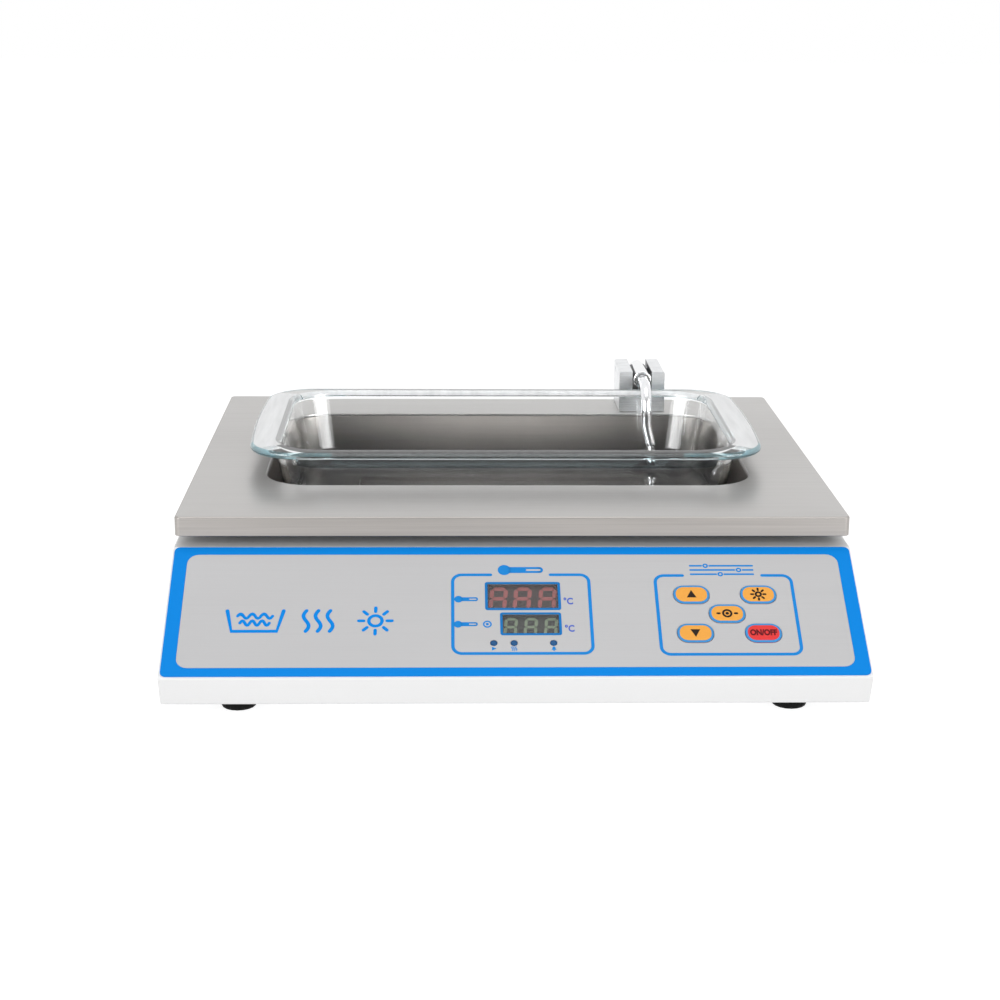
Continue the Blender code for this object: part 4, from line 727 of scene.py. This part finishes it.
def build_plate():
    loops = []
    for turn in turns(PLATE_STEPS):
        inset = PLATE_FOLD * (1 - math.sin(turn))
        loops.append(plate_loop(inset, Z_PLATE - PLATE_FOLD * (1 - math.cos(turn))))
    low = Z_PLATE - PLATE_EDGE
    under = Z_PLATE - PLATE_SHEET
    loops.append(plate_loop(0.0, low + PLATE_LIP))
    loops.append(plate_loop(PLATE_LIP, low))
    loops.append(plate_loop(PLATE_SHEET, low))
    loops.append(plate_loop(PLATE_SHEET, under))
    loops.append(level(opening_outline(0.0), under))
    for turn in reversed(turns(PLATE_STEPS)):
        outline = opening_outline(OPENING_EDGE * (1 - math.sin(turn)))
        loops.append(level(outline, Z_PLATE - OPENING_EDGE * (1 - math.cos(turn))))
    skin = loft("plate_skin", loops, ring=True)
    studs = []
    for x in (-STUD_SIDE, STUD_SIDE):
        for y in (STUD_FRONT, STUD_BACK):
            outline = circle(STUD_RADIUS, (x, y), 24)
            studs.append(prisms("stud", [plain(outline)], STUD_FOOT, under + STUD_WELD, 1.0))
    plate = piece("plate_skin", joined("plate_skin", [skin, *studs]), plate_steel, "body",
                  replaces=("top_plate",))
    # Painted shade: the plate's folds and edge faces take the darker copy of its steel.
    plate.data.materials.append(plate_edge_painted_shade)
    for face in plate.data.polygons:
        past_side = abs(face.center.x) > PLATE_WIDTH / 2 - 2 * PLATE_FOLD
        past_end = abs(face.center.y - PLATE_Y) > PLATE_DEPTH / 2 - 2 * PLATE_FOLD
        if (past_side or past_end) and face.normal.z < PLATE_FLAT_NORMAL:
            face.material_index = 1


def build_tub():
    loops = []
    for turn in turns(EDGE_STEPS):
        outline = opening_outline(TUB_EDGE * (1 - math.sin(turn)))
        loops.append(level(outline, TUB_TOP - TUB_EDGE * (1 - math.cos(turn))))
    under = TUB_TOP - TUB_SHEET
    for grow, z in ((0.0, TUB_FOOT), (TUB_SHEET, TUB_FOOT), (TUB_SHEET, under),
                    (TUB_FLANGE, under), (TUB_FLANGE, TUB_TOP)):
        loops.append(level(opening_outline(grow), z))
    piece("tub_skin", loft("tub_skin", loops, ring=True), tub_steel, "body",
          replaces=("well_tub",))


# Dish

def dish_loop(width, depth, radius, bulge, z):
    """The dish's outline at a height; the faces between two of these make one band."""
    return level(rounded_rect(width, depth, radius, bulge=bulge, side_steps=12, steps=16), z)


# The dish's further finishes, by their places in its list of materials
FLANGE_SLOT, RIM_SLOT, CORNER_SLOT, PAINTED_SHADE_SLOT, EDGE_HIGHLIGHT_SLOT = range(1, 6)


def build_dish():
    rim_z = DISH_HEIGHT
    under_z = rim_z - DISH_RIM
    outer_radius = DISH_FLOOR_RADIUS + DISH_WALL
    loops = []
    for turn in turns(BEND_STEPS):
        z = outer_radius * (1 - math.cos(turn))
        shrink = outer_radius * (1 - math.sin(turn)) + DISH_TAPER * (1 - z / under_z)
        loops.append(dish_loop(DISH_BODY_LENGTH - 2 * shrink, DISH_BODY_DEPTH - 2 * shrink,
                               DISH_BODY_CORNER - shrink / 2, 0.0, z))
    # This loop bounds the front wall's top band, which takes painted shade.
    first_shaded = len(loops)
    shade_z = under_z - DISH_SHADE
    shrink = DISH_TAPER * (1 - shade_z / under_z)
    loops.append(dish_loop(DISH_BODY_LENGTH - 2 * shrink, DISH_BODY_DEPTH - 2 * shrink,
                           DISH_BODY_CORNER, 0.0, shade_z))
    for turn in turns(EDGE_STEPS):
        out = DISH_UNDERCUT * (1 - math.cos(turn))
        z = under_z - DISH_UNDERCUT * (1 - math.sin(turn))
        loops.append(dish_loop(DISH_BODY_LENGTH + 2 * out, DISH_BODY_DEPTH + 2 * out,
                               DISH_BODY_CORNER + out / 2, 0.0, z))
    first_rim = len(loops)
    last_rim = first_rim + RIM_STEPS
    middle = (rim_z + under_z - DISH_LEDGE_SLOPE) / 2
    for turn in turns(RIM_STEPS, math.pi):
        rise = turn - math.pi / 2
        inset = DISH_RIM_ROUND * (1 - math.cos(rise))
        z = middle + (DISH_RIM - DISH_LEDGE_SLOPE) / 2 * math.sin(rise)
        loops.append(dish_loop(DISH_LENGTH - 2 * inset, DISH_DEPTH - 2 * inset, DISH_CORNER - inset,
                               DISH_BULGE, z))

    inner_length = DISH_BODY_LENGTH - 2 * DISH_WALL
    inner_depth = DISH_BODY_DEPTH - 2 * DISH_WALL
    radius = DISH_BODY_CORNER - DISH_WALL
    for turn in turns(BEND_STEPS):
        share = 1 - math.sin(turn)
        length = inner_length + 2 * DISH_INNER_LEDGE * share
        depth = inner_depth + 2 * DISH_INNER_ROUND * share
        z = rim_z - DISH_INNER_DROP * (1 - math.cos(turn))
        loops.append(dish_loop(length, depth, radius + DISH_INNER_LEDGE / 2 * share, 0.0, z))
    fall = rim_z - DISH_INNER_DROP - DISH_FLOOR
    for turn in turns(BEND_STEPS):
        z = DISH_FLOOR + DISH_FLOOR_RADIUS * (1 - math.sin(turn))
        shrink = DISH_FLOOR_RADIUS * (1 - math.cos(turn)) + DISH_TAPER * (1 - (z - DISH_FLOOR) / fall)
        loops.append(dish_loop(inner_length - 2 * shrink, inner_depth - 2 * shrink,
                               radius - shrink / 2, 0.0, z))
    mesh = loft("dish_skin", loops, smooth_angle=60)
    dish = piece("dish_skin", mesh, glass, "dish", Matrix.Translation((DISH_X, DISH_Y, DISH_Z)),
                 ("glass_dish",))
    for finish in (flange_glass, rim_glass, corner_glass, painted_shade_glass, edge_highlight_glass):
        dish.data.materials.append(finish)

    corner_x = DISH_LENGTH / 2 - 1.5 * DISH_CORNER
    corner_y = DISH_DEPTH / 2 - DISH_CORNER
    front_end = DISH_BODY_LENGTH / 2 - DISH_BODY_CORNER / 2
    front_side = DISH_BODY_DEPTH / 2 - DISH_BODY_CORNER / 2
    last_inner = last_rim + BEND_STEPS
    count = len(loops[0])
    for face in dish.data.polygons:
        band = face.index // count
        beside = abs(face.center.x - DISH_X)
        forward = DISH_Y - face.center.y
        along_front = forward > 0 and beside < front_end
        # Rim arcs take the greyer rim glass, painted shade, and the teal glass at the corners.
        if first_rim <= band < last_rim:
            at_corner = beside > corner_x and abs(forward) > corner_y
            face.material_index = CORNER_SLOT if at_corner else RIM_SLOT
            # Painted shade on the lower half of the front rim's arc.
            if along_front and band < first_rim + RIM_STEPS // 2:
                face.material_index = PAINTED_SHADE_SLOT
        elif band in (first_rim - 1, last_rim) and beside > DISH_BODY_LENGTH / 2:
            face.material_index = FLANGE_SLOT
        # Painted highlight: the back's inner rounding takes the whiter flange glass.
        elif last_rim < band <= last_inner and -forward > front_side:
            face.material_index = FLANGE_SLOT
        # Painted highlight: the inner ledge at the ends takes the whiter edge glass.
        elif last_rim < band <= last_inner and beside > inner_length / 2:
            face.material_index = EDGE_HIGHLIGHT_SLOT
        # Painted shade on the back ledge.
        elif band == last_rim and -forward > front_side and beside < front_end:
            face.material_index = PAINTED_SHADE_SLOT
        # Painted shadow under the front rim, on the top band of the front wall.
        elif first_shaded <= band < first_rim and along_front and forward > front_side:
            face.material_index = PAINTED_SHADE_SLOT


# Probe arm

def turned(profile, count=40):
    """Loops round the Z axis from (radius, height) points."""
    return [level(circle(radius, count=count), z) for radius, z in profile]


def build_sleeve():
    front = PIVOT[1] - SLEEVE_FRONT_Y
    profile = [
        (SLEEVE_BORE, front - SLEEVE_BORE_DEPTH),
        (SLEEVE_BORE, front - SLEEVE_EDGE / 2),
        (SLEEVE_BORE + SLEEVE_EDGE / 2, front),
    ]
    for turn in turns(EDGE_STEPS):
        radius = SLEEVE_RADIUS - SLEEVE_EDGE * (1 - math.sin(turn))
        profile.append((radius, front - SLEEVE_EDGE * (1 - math.cos(turn))))
    flat = SLEEVE_RADIUS - SLEEVE_BACK_ROUND
    for turn in turns(BEND_STEPS):
        radius = flat + SLEEVE_BACK_ROUND * math.cos(turn)
        profile.append((radius, -flat - SLEEVE_BACK_ROUND * math.sin(turn)))
    mesh = loft("sleeve_skin", turned(profile))
    place = Matrix.Translation(Vector(PIVOT)) @ Matrix.Rotation(math.pi / 2, 4, "X")
    piece("sleeve_skin", mesh, chrome, "probe_arm", place, ("probe_sleeve",))


def build_rod():
    """Rod through stations of (forward, fall, turn, radius), measured from the pivot."""
    reach = PIVOT[1] - ROD_Y
    drop = PIVOT[2] - ROD_TIP_Z
    start = PIVOT[1] - SLEEVE_FRONT_Y - SLEEVE_BORE_DEPTH + ROD_ROOT_GAP
    stations = [(start, 0.0, 0.0, ROD_RADIUS)]
    for turn in turns(ROD_STEPS):
        forward = reach - ROD_BEND + ROD_BEND * math.sin(turn)
        stations.append((forward, ROD_BEND - ROD_BEND * math.cos(turn), turn, ROD_RADIUS))
    neck_angle = math.asin(ROD_NECK / ROD_BALL)
    centre = drop - ROD_BALL
    neck_end = centre - ROD_BALL * math.cos(neck_angle)
    shoulder = neck_end - ROD_BALL
    down = math.pi / 2
    for step in range(1, SHIFT_STEPS):
        fall = ROD_SHIFT_START + (shoulder - ROD_SHIFT_START) * step / SHIFT_STEPS
        stations.append((reach, fall, down, ROD_RADIUS))
    for turn in turns(EDGE_STEPS):
        fall = shoulder + (ROD_RADIUS - ROD_NECK) * math.sin(turn)
        inset = (ROD_RADIUS - ROD_NECK) * (1 - math.cos(turn))
        stations.append((reach, fall, down, ROD_RADIUS - inset))
    for step in range(BALL_STEPS):
        turn = neck_angle + (math.pi - neck_angle) * step / BALL_STEPS
        stations.append((reach, centre - ROD_BALL * math.cos(turn), down, ROD_BALL * math.sin(turn)))
    loops = []
    for forward, fall, turn, radius in stations:
        share = min(max((fall - ROD_SHIFT_START) / (centre - ROD_SHIFT_START), 0.0), 1.0)
        aside = ROD_SHIFT * share * share * (3 - 2 * share)
        loops.append([(x + aside, -forward - y * math.sin(turn), -fall + y * math.cos(turn))
                      for x, y in circle(radius, count=28)])
    mesh = loft("rod_skin", loops)
    piece("rod_skin", mesh, rod_steel, "probe_arm", Matrix.Translation(Vector(PIVOT)),
          ("probe_rod",))


# Displays

def segments(u, v, width, height, line, slant):
    """Six lit bars and the unlit foot of a seven-segment digit."""
    half = width / 2
    gap = line * 0.12
    edge = line / 2

    def across_bar(y):
        ends = half - edge - gap
        return [(-ends, y), (-ends + edge, y + edge), (ends - edge, y + edge), (ends, y),
                (ends - edge, y - edge), (-ends + edge, y - edge)]

    def upright_bar(x, low, high):
        return [(x, low), (x + edge, low + edge), (x + edge, high - edge), (x, high),
                (x - edge, high - edge), (x - edge, low + edge)]

    top = height / 2 - edge
    lit = [across_bar(top), across_bar(0.0)]
    for x in (-half + edge, half - edge):
        lit.append(upright_bar(x, gap, top - gap))
        lit.append(upright_bar(x, -top + gap, -gap))
    foot = [across_bar(-top)]

    def leaning(shapes):
        return [plain([(u + x + y * slant, v + y) for x, y in shape]) for shape in shapes]

    return leaning(lit), leaning(foot)


def build_digits(name, places, v, width, height, line, material):
    lit = []
    unlit = []
    for u in places:
        bars, foot = segments(u, v, width, height, line, DIGIT_SLANT)
        lit += bars
        unlit += foot
    for part, shapes, finish in (("_digits", lit, material), ("_unlit_bars", unlit, unlit_segment)):
        mesh = prisms(name, shapes, H_SEGMENT, H_SEGMENT_TOP)
        piece(name + part, mesh, finish, "body", PANEL)


def build_displays():
    build_digits("upper_display", (-8.8, 3.8, 16.9), 52.25, 9.4, 15.2, 2.2, red_segment)
    build_digits("lower_display", (-2.7, 7.7, 18.2), 33.5, 6.9, 11.9, 1.6, green_segment)


# Printing on the panel

def thermometer(u, v, length, height, line, filled=0.6):
    """Thermometer lying on its side, bulb to the left."""
    bulb = height / 2
    stem = height * 0.29
    left = u - length / 2 + bulb
    right = u + length / 2 - stem
    shapes = [disc(left, v, bulb)]
    start = left + bulb * 0.85
    shapes.append(bar(start, v + stem - line / 2, right, v + stem - line / 2, line))
    shapes.append(bar(start, v - stem + line / 2, right, v - stem + line / 2, line))
    end = stem - line / 2
    cap = []
    for turn in turns(12, math.pi):
        angle = turn - math.pi / 2
        cap.append((right + end * math.cos(angle), v + end * math.sin(angle)))
    shapes.append(ribbon(cap, line))
    shapes.append(bar(left + bulb * 0.98, v, left + (right - left) * filled, v, line * 0.9))
    return shapes


def sun(u, v, radius, line):
    shapes = [hoop(u, v, radius * 0.5, line)]
    for i in range(8):
        angle = math.pi / 4 * i
        inner = radius * 0.70
        shapes.append(bar(u + inner * math.cos(angle), v + inner * math.sin(angle),
                          u + radius * math.cos(angle), v + radius * math.sin(angle), line))
    return shapes


def tray_sign(u, v, width, line):
    """Open tray with two waves of water in it."""
    half = width / 2
    depth = width * 0.46
    foot = half * 0.80
    tray = [(u - half, v + depth / 2), (u - foot, v - depth / 2), (u + foot, v - depth / 2),
            (u + half, v + depth / 2)]
    return [
        ribbon(tray, line),
        wave(u, v + depth * 0.24, width * 0.62, line * 1.5, line * 0.8, 3),
        wave(u, v - depth * 0.10, width * 0.52, line * 1.5, line * 0.8, 3),
    ]


def heat_sign(u, v, width, height, line):
    return [wave(u + width * (i - 1) / 2.6, v, height, line * 1.5, line, 1, True) for i in range(3)]


def triangle(u, v, width, height):
    """Triangle that points up, or down for a negative height."""
    return plain([(u - width / 2, v - height / 2), (u + width / 2, v - height / 2), (u, v + height / 2)])


def build_printing():
    def printing(name, shapes, ink):
        piece(name, prisms(name, shapes, H_FACE, H_PRINT), ink, "body", PANEL)

    printing("box_lines", [
        titled_frame(-33.5, 39.9, 13.9, 67.5, 5.6, BOX_LINE, -12.6, 18.9),
        titled_frame(73.2, 147.0, 13.1, 66.9, 5.6, BOX_LINE, 88.8, 131.0),
    ], blue_ink)
    printing("display_lines", [
        frame_line(4.0, 52.3, 39.6, 18.8, 1.4, 1.4),
        frame_line(7.7, 33.9, 31.8, 14.9, 1.4, 1.3),
    ], window_ink)

    signs = thermometer(3.2, 69.9, 24.0, 6.9, 1.35)
    for row, knob in ((2.9, 101.5), (0.0, 119.0), (-2.9, 109.0)):
        v = SLIDER_V + row
        signs.append(bar(93.3, v, knob - 2.2, v, 1.05))
        signs.append(bar(knob + 2.2, v, 126.5, v, 1.05))
        signs.append(hoop(knob, v, 1.5, 0.85))
    signs += thermometer(-25.6, 50.2, 12.4, 4.4, 0.85)
    signs += thermometer(-25.9, 33.7, 12.4, 4.4, 0.85)
    signs.append(hoop(-14.8, 33.7, 2.3, 0.8))
    signs.append(disc(-14.8, 33.7, 0.8))
    signs.append(plain([(-12.7, 16.7), (-10.4, 17.9), (-12.7, 19.1)]))
    signs += heat_sign(-1.3, 17.9, 2.6, 2.4, 0.45)
    bell = [(17.7, 17.1), (18.1, 17.6), (18.2, 18.4), (18.6, 19.0), (19.0, 19.2), (19.4, 19.0),
            (19.8, 18.4), (19.9, 17.6), (20.3, 17.1)]
    signs += [plain(list(reversed(bell))), disc(19.0, 16.7, 0.4)]
    printing("panel_signs", signs, blue_ink)

    large = tray_sign(-134.5, SIGN_V, 29.0, 2.1)
    large += heat_sign(-102.0, SIGN_V, 16.0, 13.5, 2.0)
    large += sun(-72.5, SIGN_V, 8.6, 1.8)
    printing("function_signs", large, blue_film)

    for name, u, v in (("upper", 27.6, 48.6), ("lower", 27.6, 30.6)):
        mesh = lettering("unit", "°C", 0.0058, 0.80, 0.03)
        place = PANEL @ Matrix.Translation((u * MM, v * MM, (H_FACE + H_PRINT) / 2))
        piece(name + "_unit_mark", mesh, violet_ink, "body", place)


def collar_loop(middle, inset, h):
    """A key's outline, drawn in by inset, at a height over the panel."""
    width = KEY_WIDTH - 2 * inset
    height = KEY_HEIGHT - 2 * inset
    return level(rounded_rect(width, height, KEY_CORNER - inset, middle, 12), h)


def build_key_collars():
    """Blue line round each key, moulded over its edge."""
    for name, (u, v) in KEYS.items():
        middle = (u * MM, v * MM)
        loops = [collar_loop(middle, -COLLAR_SKIN, h) for h in (H_PRINT, H_KEY - KEY_CROWN)]
        for turn in turns(KEY_STEPS)[1:]:
            inset = KEY_CROWN * (1 - math.cos(turn)) - COLLAR_SKIN
            h = H_KEY + COLLAR_SKIN - KEY_CROWN * (1 - math.sin(turn))
            loops.append(collar_loop(middle, inset, h))
        loops.append(collar_loop(middle, COLLAR, H_KEY + COLLAR_SKIN))
        loops.append(collar_loop(middle, COLLAR, H_KEY - COLLAR_SKIN))
        loops.append(collar_loop(middle, COLLAR_SKIN, H_PRINT))
        mesh = loft(name + "_collar", loops, ring=True)
        piece(name + "_collar", mesh, pale_ink, name, PANEL)


def build_key_marks():
    marks = {
        "key_up": [triangle(92.4, 53.3, 5.0, 4.9)],
        "key_down": [triangle(92.4, 27.3, 5.0, -4.9)],
        "key_set": [hoop(110.0, 40.2, 2.7, 1.1), disc(110.0, 40.2, 0.9),
                    bar(104.9, 40.2, 106.0, 40.2, 1.2), bar(114.0, 40.2, 115.1, 40.2, 1.2)],
        "key_light": sun(127.6, 52.9, 3.8, 1.1),
    }
    for name, shapes in marks.items():
        mesh = prisms(name + "_mark", shapes, H_KEY - MARK_SINK, H_MARK)
        piece(name + "_mark", mesh, dark_ink, name, PANEL)
    mesh = lettering("power", "ON/OFF", 0.0049, 0.78, 0.05)
    u, v = KEYS["key_power"]
    height = H_KEY + (H_PRINT - H_FACE) / 2 - LETTER_SINK
    place = PANEL @ Matrix.Translation((u * MM, v * MM, height))
    piece("key_power_mark", mesh, switch_ink, "key_power", place)


# Studio

def build_studio():
    size = FLOOR_HALF_SIZE
    corners = [(-size, -size, 0.0), (size, -size, 0.0), (size, size, 0.0), (-size, size, 0.0)]
    mesh = bpy.data.meshes.new("studio_floor")
    mesh.from_pydata(corners, [], [(0, 1, 2, 3)])
    floor = bpy.data.objects.new("studio_floor", mesh)
    bpy.context.scene.collection.objects.link(floor)
    material = bpy.data.materials.new("studio_floor")
    material.use_nodes = True
    tree = material.node_tree
    tree.nodes.clear()
    output = tree.nodes.new("ShaderNodeOutputMaterial")
    plain_floor = tree.nodes.new("ShaderNodeBsdfDiffuse")
    plain_floor.inputs["Color"].default_value = FLOOR_COLOUR
    shadow = tree.nodes.new("ShaderNodeBsdfDiffuse")
    shadow.inputs["Color"].default_value = FLOOR_SHADOW_COLOUR
    glow = tree.nodes.new("ShaderNodeEmission")
    glow.inputs["Strength"].default_value = FLOOR_GLOW
    seen = tree.nodes.new("ShaderNodeAddShader")
    tree.links.new(shadow.outputs["BSDF"], seen.inputs[0])
    tree.links.new(glow.outputs["Emission"], seen.inputs[1])
    choice = tree.nodes.new("ShaderNodeMixShader")
    tree.links.new(seen_rays(tree), choice.inputs["Fac"])
    tree.links.new(plain_floor.outputs["BSDF"], choice.inputs[1])
    tree.links.new(seen.outputs["Shader"], choice.inputs[2])
    tree.links.new(choice.outputs["Shader"], output.inputs["Surface"])
    mesh.materials.append(material)

    world = bpy.data.worlds.new("studio")
    bpy.context.scene.world = world
    world.use_nodes = True
    tree = world.node_tree
    background = tree.nodes["Background"]
    background.inputs["Color"].default_value = (1.0, 1.0, 1.0, 1.0)
    path = tree.nodes.new("ShaderNodeLightPath")
    lit = tree.nodes.new("ShaderNodeMapRange")
    lit.inputs["To Min"].default_value = WORLD_LIGHT
    lit.inputs["To Max"].default_value = 1.0
    tree.links.new(seen_rays(tree), lit.inputs["Value"])
    place = tree.nodes.new("ShaderNodeTexCoord")
    axes = tree.nodes.new("ShaderNodeSeparateXYZ")
    side = tree.nodes.new("ShaderNodeMapRange")
    side.inputs["From Min"].default_value = WORLD_FRONT_Y
    side.inputs["From Max"].default_value = WORLD_BACK_Y
    side.inputs["To Min"].default_value = WORLD_FRONT
    side.inputs["To Max"].default_value = 1.0
    tree.links.new(place.outputs["Generated"], axes.inputs["Vector"])
    tree.links.new(axes.outputs["Y"], side.inputs["Value"])
    strength = tree.nodes.new("ShaderNodeMix")
    strength.data_type = "FLOAT"
    tree.links.new(path.outputs["Is Glossy Ray"], strength.inputs["Factor"])
    tree.links.new(lit.outputs["Result"], strength.inputs["A"])
    tree.links.new(side.outputs["Result"], strength.inputs["B"])
    tree.links.new(strength.outputs["Result"], background.inputs["Strength"])

    shiny = bpy.data.collections.new("shiny_pieces")
    for name in ("dish_skin", "rod_skin", "sleeve_skin"):
        shiny.objects.link(bpy.data.objects[name])
    shiny.objects.link(frame["nodes"]["probe_block"])
    for side_name, sign in (("left", -1.0), ("right", 1.0)):
        side_place = (sign * SIDE_PLACE[0], *SIDE_PLACE[1:])
        shine_place = (sign * SHINE_PLACE[0], *SHINE_PLACE[1:])
        softbox("softbox_" + side_name, side_place, SIDE_SIZE, SIDE_RADIANCE)
        softbox("shine_" + side_name, shine_place, SHINE_SIZE, SHINE_RADIANCE, shiny)
    softbox("softbox_over", OVER_PLACE, OVER_SIZE, OVER_RADIANCE)


def seen_rays(tree):
    """1 for what the camera, a reflection or glass sees, 0 for the light that falls on things."""
    path = tree.nodes.new("ShaderNodeLightPath")
    first = tree.nodes.new("ShaderNodeMath")
    first.operation = "MAXIMUM"
    second = tree.nodes.new("ShaderNodeMath")
    second.operation = "MAXIMUM"
    tree.links.new(path.outputs["Is Camera Ray"], first.inputs[0])
    tree.links.new(path.outputs["Is Glossy Ray"], first.inputs[1])
    tree.links.new(first.outputs["Value"], second.inputs[0])
    tree.links.new(path.outputs["Is Transmission Ray"], second.inputs[1])
    return second.outputs["Value"]


def softbox(name, place, size, radiance, shiny=None):
    """Rectangular lamp; with a collection of shiny pieces it shows in their reflections alone."""
    width, height = size
    light = bpy.data.lights.new(name, "AREA")
    light.shape = "RECTANGLE"
    light.size = width
    light.size_y = height
    light.energy = radiance * math.pi * width * height
    thing = bpy.data.objects.new(name, light)
    thing.location = place
    aim = Vector(LAMP_AIM) - Vector(place)
    thing.rotation_euler = aim.to_track_quat("-Z", "Y").to_euler()
    if shiny:
        thing.visible_diffuse = False
        thing.light_linking.receiver_collection = shiny
    bpy.context.scene.collection.objects.link(thing)


def build_camera():
    pitch, yaw, roll = CAMERA_PITCH, CAMERA_YAW, CAMERA_ROLL
    ahead = Vector((math.sin(yaw) * math.cos(pitch), math.cos(yaw) * math.cos(pitch), -math.sin(pitch)))
    right = Vector((math.cos(yaw), -math.sin(yaw), 0.0))
    up = right.cross(ahead)
    right_rolled = math.cos(roll) * right + math.sin(roll) * up
    up_rolled = -math.sin(roll) * right + math.cos(roll) * up
    matrix = Matrix.Identity(4)
    for row in range(3):
        matrix[row][0] = right_rolled[row]
        matrix[row][1] = up_rolled[row]
        matrix[row][2] = -ahead[row]
        matrix[row][3] = CAMERA_PLACE[row]
    data = bpy.data.cameras.new("camera")
    data.lens = CAMERA_LENS
    data.sensor_width = CAMERA_SENSOR
    camera = bpy.data.objects.new("camera", data)
    camera.matrix_world = matrix
    bpy.context.scene.collection.objects.link(camera)
    bpy.context.scene.camera = camera


build_camera()
dress_nodes()
build_plate()
build_tub()
build_dish()
build_sleeve()
build_rod()
eased("probe_block", 0.0004)
build_displays()
build_printing()
build_key_collars()
build_key_marks()
build_studio()
bpy.context.scene.view_settings.view_transform = "Standard"
